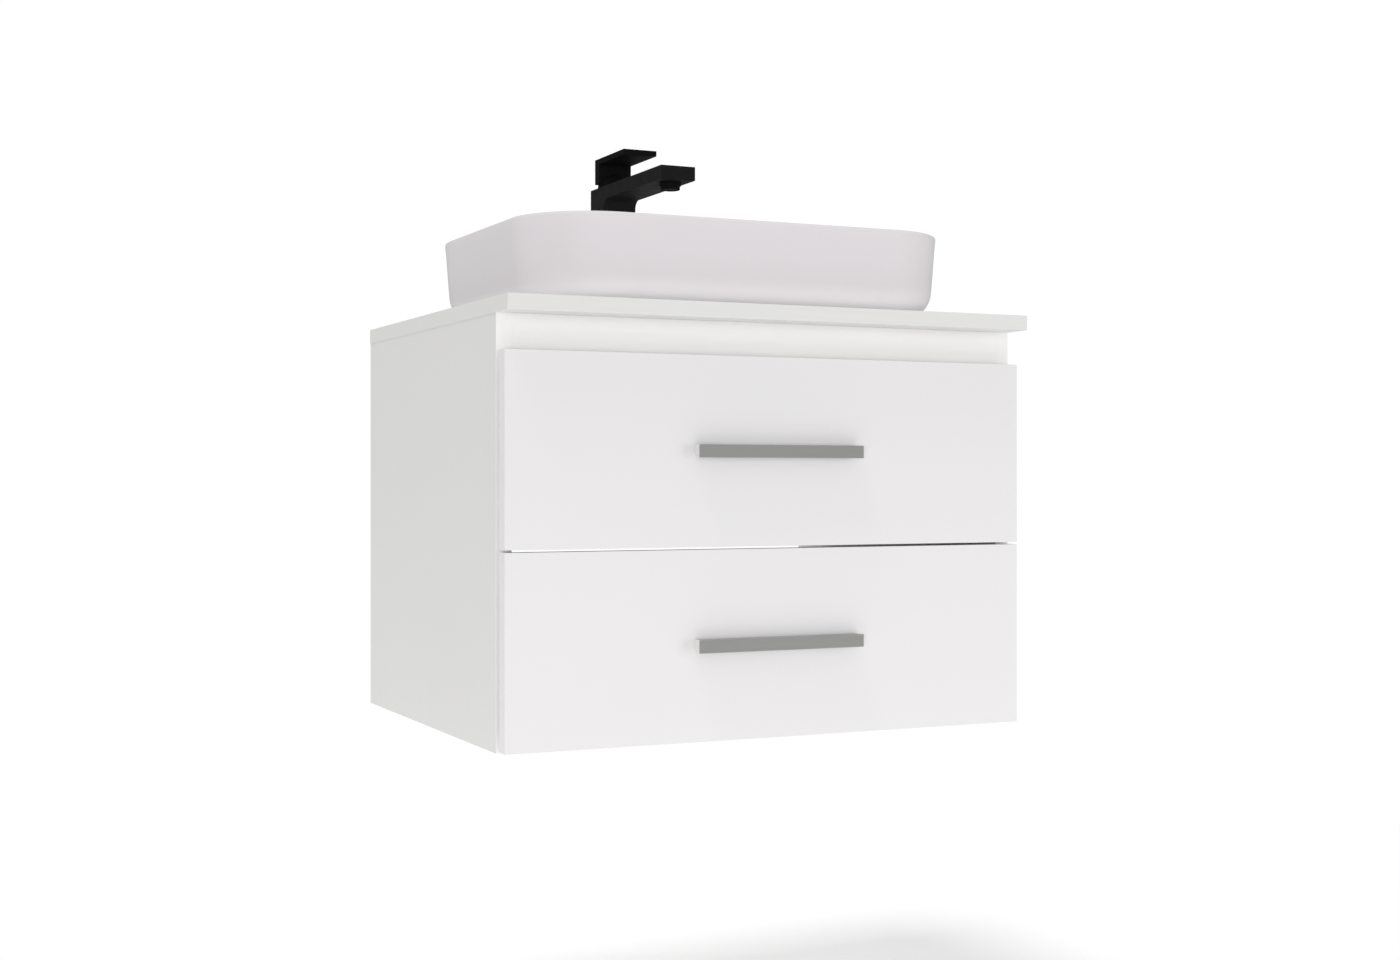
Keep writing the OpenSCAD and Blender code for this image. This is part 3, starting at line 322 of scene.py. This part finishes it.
MATERIALS = {
    # the upright sides carry painted shade in their darker white, and painted light on their front
    # edge
    "board_upright_painted_shade_and_light": board_material(
        "board_upright_painted_shade_and_light", SIDE_PAINTED_SHADE_WHITE, "z", streak=0.006,
        painted_lit_edge=(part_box("side_left")[0].y + LIT_EDGE_THICK, RAIL_PAINTED_LIGHT_WHITE),
    ),
    "board_across": board_material("board_across", BOARD_WHITE, "x"),
    "board_deep": board_material("board_deep", BOARD_WHITE, "y"),
    # painted light: the rail's lighter white stands in for light in the recess under the worktop
    "board_rail_painted_light": board_material("board_rail_painted_light", RAIL_PAINTED_LIGHT_WHITE, "x"),
    "worktop_lacquer": board_material("worktop_lacquer", WORKTOP_WHITE, "x", roughness=0.4),
    "front_lacquer": lacquer_material("front_lacquer", FRONT_WHITE),
    # the glaze carries painted light at the sink's foot
    "glaze": ceramic_material(
        "glaze", GLAZE_WHITE, GLAZE_FOOT_PAINTED_LIGHT,
        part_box("basin")[0].z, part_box("basin")[0].z + GLAZE_PAINTED_LIGHT_HEIGHT,
    ),
    "tap_black": powder_material("tap_black", (0.0125, 0.0125, 0.0123), 0.09),
    "lever_black": powder_material("lever_black", (0.0075, 0.0075, 0.0074), 0.03),
    "handle_grey": brushed_material("handle_grey", (0.385, 0.385, 0.375), "x", 0.40),
    "handle_cap": brushed_material("handle_cap", (0.86, 0.86, 0.85), "z", 0.34),
    "zinc": metal_material("zinc", (0.62, 0.63, 0.65), 0.34, 240.0),
    "chrome": metal_material("chrome", (0.78, 0.79, 0.80), 0.08, 90.0, spread=0.03, depth=0.01 * MM),
    "brass": metal_material("brass", (0.70, 0.52, 0.27), 0.30, (900.0, 900.0, 3600.0)),
    "trap_white": moulded_material("trap_white", (0.80, 0.80, 0.79), 0.30),
    "cartridge_cream": moulded_material("cartridge_cream", (0.66, 0.63, 0.54), 0.48),
    "rubber": moulded_material("rubber", (0.022, 0.022, 0.023), 0.72, grain_scale=1500.0),
    "silicone": moulded_material("silicone", (0.82, 0.82, 0.80), 0.38),
    "aerator_black": moulded_material("aerator_black", (0.006, 0.006, 0.006), 0.55, specular=0.12),
}


# ---------- Mesh helpers ----------

CREASE = 32.0               # degrees; an edge that turns more is sharp
WELD_REACH = 0.002 * MM
FLAT_ANGLE = 0.5            # degrees; triangles that turn less make one face


def add_piece(name, bm, material, body, nodes=(), crease=CREASE):
    """Turns a bmesh into a piece of the visual model that rides on a body."""
    bmesh.ops.recalc_face_normals(bm, faces=bm.faces)
    mesh = bpy.data.meshes.new(name)
    bm.to_mesh(mesh)
    bm.free()
    mesh.shade_smooth()
    mesh.set_sharp_from_angle(angle=math.radians(crease))
    mesh.materials.append(MATERIALS[material])
    piece = bpy.data.objects.new(name, mesh)
    bpy.context.scene.collection.objects.link(piece)
    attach(piece, body)
    if nodes:
        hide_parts(*nodes)
    return piece


def round_edges(piece, width, segments=3):
    """Rounds every sharp edge, with even shading on the flats."""
    bevel = piece.modifiers.new("round_edges", "BEVEL")
    bevel.width = width
    bevel.segments = segments
    bevel.limit_method = "ANGLE"
    bevel.angle_limit = math.radians(CREASE)
    bevel.harden_normals = True


def soften(node, width, segments):
    """Welds a CAD node's triangles into faces, and rounds its sharp edges."""
    piece = NODES[node]
    weld = piece.modifiers.new("weld", "WELD")
    weld.merge_threshold = WELD_REACH
    flat = piece.modifiers.new("flat_faces", "DECIMATE")
    flat.decimate_type = "DISSOLVE"
    flat.angle_limit = math.radians(FLAT_ANGLE)
    round_edges(piece, width, segments)


def polar(x, y, radius, angle):
    """A point on a circle about (x, y), with the angle in radians."""
    return x + radius * math.cos(angle), y + radius * math.sin(angle)


def full_turn(steps):
    """Angles once round, in even steps."""
    return [math.tau * i / steps for i in range(steps)]


def part_turn(first, last, steps):
    """Angles in even steps from first to last, which are in degrees and both included."""
    return [math.radians(first + (last - first) * i / steps) for i in range(steps + 1)]


def blend(start, end, share):
    """The point that lies a share of the way from start to end."""
    return tuple(a + (b - a) * share for a, b in zip(start, end))


def loft(bm, rings, close=False):
    """Joins rings of equal length with quads; close joins the last to the first."""
    rows = [[bm.verts.new(point) for point in ring] for ring in rings]
    pairs = list(zip(rows, rows[1:]))
    if close:
        pairs.append((rows[-1], rows[0]))
    for row, following in pairs:
        count = len(row)
        for i in range(count):
            j = (i + 1) % count
            bm.faces.new((row[i], row[j], following[j], following[i]))
    return rows


def capped_loft(bm, rings):
    """A loft with a face on each end, which makes it a closed solid."""
    rows = loft(bm, rings)
    bm.faces.new(rows[0])
    bm.faces.new(rows[-1])


def prism(bm, outline, start, end):
    """Closed solid: an outline of (y, z) points, drawn out along X."""
    capped_loft(bm, [[(x, y, z) for y, z in outline] for x in (start, end)])


def lathe(bm, profile, centre, hollow, steps=64):
    """Turns a profile of (radius, z) points about a vertical axis, as a ring or a closed solid."""
    rings = [
        [(*polar(centre.x, centre.y, radius, angle), z) for angle in full_turn(steps)]
        for radius, z in profile
    ]
    if hollow:
        loft(bm, rings, close=True)
    else:
        capped_loft(bm, rings)


def helix(bm, centre, radius, start, end, pitch, depth, steps=40):
    """A thread's ridge: a triangle swept up a helix, thinning out at both ends."""
    root = -0.15 * MM           # the ridge starts this far inside the tube
    flank = 0.42 * pitch
    run_out = steps / 4
    thinnest = 0.05
    count = int((end - start) / pitch * steps)
    rings = []
    for i in range(count + 1):
        angle = math.tau * i / steps
        z = start + (end - start) * i / count
        full = min(1.0, i / run_out + thinnest, (count - i) / run_out + thinnest)
        section = ((root, -flank * full), (depth * full, 0.0), (root, flank * full))
        rings.append([
            (*polar(centre.x, centre.y, radius + reach, angle), z + lift) for reach, lift in section
        ])
    capped_loft(bm, rings)


def plan_ring(half_x, half_y, radius, arc_steps, side_steps):
    """Points round a rounded rectangle: arcs at the corners, even steps along the sides."""
    arcs = []
    for sign_x, sign_y, first in ((1, 1, 0), (-1, 1, 90), (-1, -1, 180), (1, -1, 270)):
        x = sign_x * (half_x - radius)
        y = sign_y * (half_y - radius)
        arcs.append([polar(x, y, radius, angle) for angle in part_turn(first, first + 90, arc_steps)])
    points = []
    for arc, following in zip(arcs, arcs[1:] + arcs[:1]):
        points += arc
        points += [blend(arc[-1], following[0], i / side_steps) for i in range(1, side_steps)]
    return points


# ---------- Sink ----------

SINK_CORNER = 90 * MM       # radius of the corners in plan
SINK_CORNER_LEAST = 4 * MM
SINK_TAPER = 0.075          # lean of the outer wall, for each unit of height
SINK_FOOT = 27 * MM         # radius between the base and the outer wall
SINK_FOOT_EASE = 1.5 * MM   # extra height that the foot's lean is worked out for
SINK_EDGE = 3 * MM          # radius of the rim's two edges
SINK_RIM = 9 * MM           # width of the rim
SINK_BOWL_TAPER = 0.16      # lean of the bowl's wall
SINK_BOWL = 38 * MM         # radius between the bowl's wall and its floor
SINK_FLOOR = 13 * MM        # thickness of the floor at the drain
SINK_FALL = 3 * MM          # fall of the floor towards the drain
SINK_HOLE = 24 * MM         # radius of the drain's hole
SINK_SEAT = 1 * MM          # flat of the floor that shows round the drain's flange
ARC_STEPS = 14              # round each corner in plan
SIDE_STEPS = 8              # along each side in plan
WALL_STEPS = 5              # up each wall
EDGE_STEPS = 5              # round each of the rim's edges
FOOT_STEPS = 9
BOWL_STEPS = 12


# Each section below is a list of rings: (inset, height, roundness, radius of the circle).
# A roundness of 0 is the sink's own plan, and 1 is the circle.

def sink_foot(height):
    """From the hole across the base, and round up to the outer wall."""
    lean = height + SINK_FOOT_EASE
    base_inset = SINK_FOOT + SINK_TAPER * lean
    rings = [(0, 0, 1, SINK_HOLE)]
    rings += [(base_inset, 0, share, SINK_HOLE) for share in (0.75, 0.45, 0.15)]
    for angle in part_turn(0, 90, FOOT_STEPS):
        z = SINK_FOOT * (1 - math.cos(angle))
        rings.append((SINK_FOOT * (1 - math.sin(angle)) + SINK_TAPER * (lean - z), z, 0, 0))
    return rings


def sink_wall(height):
    """Up the outer wall."""
    rise = height - SINK_EDGE - SINK_FOOT
    levels = [SINK_FOOT + rise * i / WALL_STEPS for i in range(1, WALL_STEPS)]
    return [(SINK_TAPER * (height - z), z, 0, 0) for z in levels]


def sink_rim(height):
    """Over the rim: its outer edge, then its inner edge."""
    rings = []
    for angle in part_turn(0, 90, EDGE_STEPS):
        z = height - SINK_EDGE * (1 - math.sin(angle))
        rings.append((SINK_EDGE * (1 - math.cos(angle)), z, 0, 0))
    for angle in part_turn(90, 0, EDGE_STEPS):
        z = height - SINK_EDGE * (1 - math.sin(angle))
        rings.append((SINK_RIM - SINK_EDGE * (1 - math.cos(angle)), z, 0, 0))
    return rings


def sink_bowl(height):
    """Down the bowl's wall, and round to its floor."""
    floor = SINK_FLOOR + SINK_FALL
    depth = height - floor
    drop = depth - SINK_EDGE - SINK_BOWL
    levels = [height - SINK_EDGE - drop * i / WALL_STEPS for i in range(1, WALL_STEPS)]
    rings = [(SINK_RIM + SINK_BOWL_TAPER * (height - z), z, 0, 0) for z in levels]
    for angle in part_turn(90, 0, BOWL_STEPS):
        z = SINK_BOWL * (1 - math.cos(angle))
        curve = SINK_BOWL * (1 - math.sin(angle))
        rings.append((SINK_RIM + curve + SINK_BOWL_TAPER * (depth - z), floor + z, 0, 0))
    return rings


def sink_floor(height, seat):
    """Down the bowl's floor, which turns into a circle at the drain, and into the hole."""
    floor = SINK_FLOOR + SINK_FALL
    inset = SINK_RIM + SINK_BOWL + SINK_BOWL_TAPER * (height - floor)
    rings = [(inset, floor - SINK_FALL * share, share, seat) for share in (0.2, 0.45, 0.7, 0.9, 1.0)]
    rings.append((0, SINK_FLOOR, 1, SINK_HOLE))
    return rings


def sink_ring(low, high, inset, z, roundness, circle):
    """The points of one ring, in the row frame."""
    centre = (low + high) / 2
    half_x = (high.x - low.x) / 2 - inset
    half_y = (high.y - low.y) / 2 - inset
    radius = max(SINK_CORNER - inset, SINK_CORNER_LEAST)
    points = []
    for x, y in plan_ring(half_x, half_y, radius, ARC_STEPS, SIDE_STEPS):
        x, y = blend((x, y), polar(0, 0, circle, math.atan2(y, x)), roundness)
        points.append((centre.x + x, centre.y + y, low.z + z))
    return points


def sink():
    """The sink as one skin: foot, wall, rim, bowl, fall to the drain and drain hole."""
    low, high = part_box("basin")
    drain_low, drain_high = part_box("drain_body")
    height = high.z - low.z
    seat = (drain_high.x - drain_low.x) / 2 + SINK_SEAT
    sections = sink_foot(height) + sink_wall(height) + sink_rim(height)
    sections += sink_bowl(height) + sink_floor(height, seat)
    bm = bmesh.new()
    loft(bm, [sink_ring(low, high, *section) for section in sections], close=True)
    add_piece("sink", bm, "glaze", "cabinet", nodes=("basin",), crease=40.0)


# ---------- Handles ----------

PULL_WALL = 2.2 * MM        # thickness of the bar's face and of its top
PULL_HOOK = 1.6 * MM        # thickness of the flange on the door
PULL_LIP = 8.2 * MM         # height of that flange
PULL_CAP = 3.0 * MM         # width of an end cap
PULL_CAP_RISE = 4.0 * MM    # slope of its lower edge
PULL_SEAM = 0.1 * MM        # between the bar and a cap


def solid(bm, faces):
    """Closed solid from its faces, each a list of points; shared points become one vertex."""
    corners = {}
    for face in faces:
        for point in face:
            if point not in corners:
                corners[point] = bm.verts.new(point)
        bm.faces.new([corners[point] for point in face])


def pull_bar(bm, ends, shoulders, depths, heights):
    """The bar: a face plate over the full length, and a hooked flange between the shoulders."""
    x0, x3 = ends
    x1, x2 = shoulders
    front, plate, hook, back = depths
    bottom, lip, web, top = heights
    faces = [
        [(x, y, bottom) for x, y in ((x0, front), (x3, front), (x3, plate), (x0, plate))],
        [(x, front, z) for x, z in ((x0, bottom), (x3, bottom), (x3, top), (x0, top))],
        [(x, back, z) for x, z in ((x1, lip), (x2, lip), (x2, top), (x1, top))],
        [(x, hook, z) for x, z in ((x1, lip), (x2, lip), (x2, web), (x1, web))],
        [(x, y, lip) for x, y in ((x1, hook), (x2, hook), (x2, back), (x1, back))],
        [(x, y, web) for x, y in ((x1, plate), (x2, plate), (x2, hook), (x1, hook))],
        [(x, y, top) for x, y in (
            (x0, front), (x3, front), (x3, plate), (x2, plate),
            (x2, back), (x1, back), (x1, plate), (x0, plate),
        )],
        [(x, plate, z) for x, z in (
            (x0, bottom), (x3, bottom), (x3, top), (x2, top),
            (x2, web), (x1, web), (x1, top), (x0, top),
        )],
    ]
    for x in ends:
        faces.append([
            (x, y, z) for y, z in ((front, bottom), (plate, bottom), (plate, top), (front, top))
        ])
    for x in shoulders:
        faces.append([(x, y, z) for y, z in (
            (plate, web), (hook, web), (hook, lip), (back, lip), (back, top), (plate, top),
        )])
    solid(bm, faces)


def pull_cap(name, outline, start, end, body):
    """A light cap that closes one end of the bar."""
    bm = bmesh.new()
    prism(bm, outline, start, end)
    cap = add_piece(name, bm, "handle_cap", body)
    round_edges(cap, 0.4 * MM)


def handle(name, node, body):
    """Finger pull: a brushed bar with a flange on the door, and a light cap behind each end."""
    low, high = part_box(node)
    plate = low.y + PULL_WALL
    inset = PULL_CAP + PULL_SEAM
    bm = bmesh.new()
    pull_bar(
        bm, (low.x, high.x), (low.x + inset, high.x - inset),
        (low.y, plate, high.y - PULL_HOOK, high.y),
        (low.z, high.z - PULL_LIP, high.z - PULL_WALL, high.z),
    )
    bar = add_piece(name + "_bar", bm, "handle_grey", body, nodes=(node,))
    round_edges(bar, 0.45 * MM)
    outline = [
        (plate + PULL_SEAM, low.z), (plate + PULL_SEAM, high.z),
        (high.y, high.z), (high.y, low.z + PULL_CAP_RISE),
    ]
    pull_cap(name + "_cap_left", outline, low.x, low.x + PULL_CAP, body)
    pull_cap(name + "_cap_right", outline, high.x - PULL_CAP, high.x, body)


# ---------- Aerator ----------

def aerator():
    """The outlet's two-step collar: a wide ring on the spout, and a narrow one with the opening."""
    low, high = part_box("aerator_housing")
    insert_low, insert_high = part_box("aerator_insert")
    collar = (high.x - low.x) / 2
    collar_low = low.z + 5.0 * MM
    nose = collar - 1.5 * MM
    nose_high = collar_low - 1.0 * MM
    nose_fillet = 0.3 * MM
    nose_edge = 0.5 * MM
    clearance = 0.1 * MM
    bore = (insert_high.x - insert_low.x) / 2 + clearance
    bore_edge = 0.9 * MM
    profile = [
        (collar, high.z), (collar, collar_low),
        (nose + nose_fillet, nose_high + nose_fillet), (nose, nose_high),
        (nose, low.z + nose_edge), (nose - nose_edge, low.z),
        (bore + bore_edge, low.z), (bore, low.z + bore_edge), (bore, high.z),
    ]
    bm = bmesh.new()
    lathe(bm, profile, (low + high) / 2, hollow=True)
    piece = add_piece(
        "outlet_collar", bm, "lever_black", "cabinet",
        nodes=("aerator_housing",), crease=28.0,
    )
    round_edges(piece, 0.25 * MM, segments=2)


# ---------- Drain ----------

def plug_cap():
    """The drain's plug: a softly domed cap on its guide stem."""
    low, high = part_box("drain_plug")
    cap_radius = (high.x - low.x) / 2
    cap_low = high.z - 4.2 * MM
    cap_edge = 1.2 * MM
    dome = 1.7 * MM
    dome_low = high.z - dome
    dome_shares = (0.04, 0.15, 0.3, 0.45, 0.6, 0.75, 0.87, 0.94)    # of the cap's radius
    boss_radius = 9.0 * MM
    boss_low = cap_low - 3.0 * MM
    stem_radius = 4.0 * MM
    stem_tip = 0.6 * MM
    profile = [(cap_radius * share, high.z - dome * share ** 2) for share in dome_shares]
    profile += [
        (cap_radius - 0.4 * MM, dome_low - 0.25 * MM), (cap_radius, dome_low - 0.7 * MM),
        (cap_radius, cap_low + cap_edge), (cap_radius - 0.5 * MM, cap_low + 0.2 * MM),
        (cap_radius - cap_edge, cap_low), (boss_radius, cap_low), (boss_radius, boss_low),
        (stem_radius, boss_low), (stem_radius, low.z + stem_tip), (stem_radius - stem_tip, low.z),
    ]
    bm = bmesh.new()
    lathe(bm, profile, (low + high) / 2, hollow=False, steps=96)
    add_piece("plug_cap", bm, "chrome", "plug", nodes=("drain_plug",), crease=35.0)


def drain_thread():
    """The thread on the drain's tube, between its nut and the trap's nut."""
    body_low, body_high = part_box("drain_body")
    tube_radius = 21.0 * MM
    gap = 1.0 * MM
    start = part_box("trap_inlet_nut")[1].z + gap
    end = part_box("drain_nut")[0].z - gap
    bm = bmesh.new()
    helix(bm, (body_low + body_high) / 2, tube_radius, start, end, pitch=1.8 * MM, depth=0.7 * MM)
    add_piece("drain_thread", bm, "chrome", "cabinet", crease=20.0)


# ---------- Bumpers ----------

BUMPER_INSET = 14 * MM      # from the front's lower and upper edge
BUMPER_SHIFT = 1.5 * MM     # towards the middle, from the centre of the side's edge
BUMPER_RADIUS = 4.0 * MM
BUMPER_HEIGHT = 3.2 * MM
BUMPER_FLATNESS = 0.6       # below 1 keeps the dot wide towards its top
BUMPER_LEVELS = 7
BUMPER_STEPS = 28


def bumper_rings(x, y, z):
    """A dome that stands on the plane at y and points to the rear."""
    rings = []
    for i in range(BUMPER_LEVELS):
        angle = math.radians(90 * i / BUMPER_LEVELS)
        radius = BUMPER_RADIUS * math.cos(angle) ** BUMPER_FLATNESS
        level = y + BUMPER_HEIGHT * math.sin(angle)
        ring = [polar(x, z, radius, turn) for turn in full_turn(BUMPER_STEPS)]
        rings.append([(ring_x, level, ring_z) for ring_x, ring_z in ring])
    return rings


def bumpers(name, node, body):
    """Soft dots on the back of a drawer's front, where it meets the sides."""
    low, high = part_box(node)
    side_low, side_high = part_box("side_right")
    across = (side_low.x + side_high.x) / 2 - BUMPER_SHIFT
    for side, x in (("left", -across), ("right", across)):
        for level, z in (("low", low.z + BUMPER_INSET), ("high", high.z - BUMPER_INSET)):
            bm = bmesh.new()
            capped_loft(bm, bumper_rings(x, high.y, z))
            add_piece(f"{name}_bumper_{side}_{level}", bm, "silicone", body, crease=50.0)


# ---------- Finish of the CAD nodes ----------

FINISHES = [
    # material, width of the rounded edges in mm, steps round them, nodes
    ("board_upright_painted_shade_and_light", 0.5, 2, ["side_left", "side_right"]),
    ("worktop_lacquer", 0.6, 3, ["countertop"]),
    ("board_rail_painted_light", 0.4, 2, ["front_rail"]),
    ("board_across", 0.4, 2, [
        "hanging_rail", "lower_rail", "upper_box_front", "lower_box_front",
        "upper_backs", "upper_recess_walls", "lower_back",
    ]),
    ("board_deep", 0.4, 2, [
        "bottom_panel", "upper_side_left", "upper_side_right", "upper_bottom",
        "lower_side_left", "lower_side_right", "lower_bottom",
    ]),
    ("front_lacquer", 0.7, 3, ["upper_front", "lower_front"]),
    ("zinc", 0.25, 2, [
        "cam_locks", "cam_bolts", "top_brackets", "cabinet_runners",
        "upper_drawer_runners", "lower_drawer_runners",
    ]),
    ("zinc", 0.15, 1, [
        "bracket_screws", "runner_screws", "upper_drawer_screws", "lower_drawer_screws",
        "lever_pin", "lever_screw",
    ]),
    ("silicone", 0.4, 2, ["basin_seal"]),
    ("chrome", 0.5, 2, ["drain_body", "drain_nut"]),
    ("rubber", 0.4, 2, ["drain_gasket", "plug_seal", "tap_base_seal"]),
    ("trap_white", 0.6, 2, [
        "trap_inlet_tube", "trap_inlet_nut", "trap_body", "trap_cup",
        "trap_outlet_nut", "trap_outlet_pipe",
    ]),
    ("tap_black", 0.7, 3, ["tap_body"]),
    ("lever_black", 0.7, 3, ["tap_lever"]),
    ("brass", 0.3, 2, ["tap_shank", "tap_nut", "cartridge_nut", "tap_spindle"]),
    ("cartridge_cream", 0.3, 2, ["tap_cartridge"]),
    ("aerator_black", 0.15, 2, ["aerator_insert"]),
]

# These are round or finely made already, so their edges stay as they are.
UNSOFTENED = {
    "upper_middle_runners": "zinc",
    "lower_middle_runners": "zinc",
    "lever_dome": "lever_black",
}


def set_material(node, material):
    """Puts a material in every slot of a CAD node."""
    for slot in NODES[node].material_slots:
        slot.material = MATERIALS[material]


def finish_nodes():
    """Each CAD node that stays gets its material, and most get softened edges."""
    for material, width, segments, nodes in FINISHES:
        for node in nodes:
            set_material(node, material)
            soften(node, width * MM, segments)
    for node, material in UNSOFTENED.items():
        set_material(node, material)


# ---------- Stage ----------

def add_floor():
    """Wide pale floor; a little glow keeps it as pale as the backdrop."""
    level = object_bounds()[0].z - FLOOR_DROP
    bm = bmesh.new()
    bmesh.ops.create_grid(bm, x_segments=FLOOR_CELLS, y_segments=FLOOR_CELLS, size=FLOOR_SIZE / 2)
    bmesh.ops.translate(bm, verts=bm.verts, vec=(0, 0, level))
    mesh = bpy.data.meshes.new("floor")
    bm.to_mesh(mesh)
    bm.free()
    material = new_material(
        "floor", FLOOR_COLOUR, 0.9, Specular_IOR_Level=0.0,
        Emission_Color=(1.0, 1.0, 1.0, 1.0), Emission_Strength=FLOOR_GLOW,
    )[0]
    mesh.materials.append(material)
    floor = bpy.data.objects.new("floor", mesh)
    bpy.context.scene.collection.objects.link(floor)


def add_lamp(name, source, power, spread):
    """Even light from one direction, without a glare spot; the spread softens its shadows."""
    light = bpy.data.lights.new(name, "SUN")
    light.energy = power
    light.angle = math.radians(spread)
    lamp = bpy.data.objects.new(name, light)
    lamp.rotation_euler = Vector(source).to_track_quat("Z", "Y").to_euler()
    lamp.visible_glossy = False
    bpy.context.scene.collection.objects.link(lamp)


def add_lights():
    """A soft key from above, a fill on each side of the camera, and a weak one behind."""
    for name, (source, power, spread) in LAMPS.items():
        add_lamp(name, source, power, spread)


def add_world():
    """White to the camera, softer as light."""
    world = bpy.data.worlds.new("backdrop")
    world.use_nodes = True
    tree = world.node_tree
    tree.nodes.clear()
    path = add_node(tree, "ShaderNodeLightPath")
    seen = add_node(tree, "ShaderNodeBackground", {"Color": SKY_COLOUR, "Strength": SKY_SEEN})
    light = add_node(tree, "ShaderNodeBackground", {"Color": SKY_COLOUR, "Strength": SKY_LIGHT})
    mix = add_node(
        tree, "ShaderNodeMixShader",
        {0: path.outputs["Is Camera Ray"], 1: light.outputs[0], 2: seen.outputs[0]},
    )
    add_node(tree, "ShaderNodeOutputWorld", {"Surface": mix.outputs[0]})
    bpy.context.scene.world = world


def add_camera():
    """A level camera to the left of the unit, at the height of its upper drawer's front."""
    data = bpy.data.cameras.new("camera")
    data.lens = CAMERA_LENS
    data.sensor_width = CAMERA_SENSOR
    data.shift_x = CAMERA_SHIFT
    camera = bpy.data.objects.new("camera", data)
    camera.location = CAMERA_PLACE
    camera.rotation_euler = (math.radians(90), 0, math.radians(-CAMERA_TURN))
    bpy.context.scene.collection.objects.link(camera)
    bpy.context.scene.camera = camera


def set_view():
    """Plain colours, with no film look."""
    settings = bpy.context.scene.view_settings
    settings.view_transform = "Standard"
    settings.look = "None"
    settings.exposure = 0.0
    settings.gamma = 1.0


# ---------- Build ----------

add_camera()
set_view()
add_world()
add_lights()
add_floor()
finish_nodes()
sink()
handle("upper_pull", "upper_handle", "upper_drawer")
handle("lower_pull", "lower_handle", "lower_drawer")
aerator()
plug_cap()
drain_thread()
bumpers("upper", "upper_front", "upper_drawer")
bumpers("lower", "lower_front", "lower_drawer")
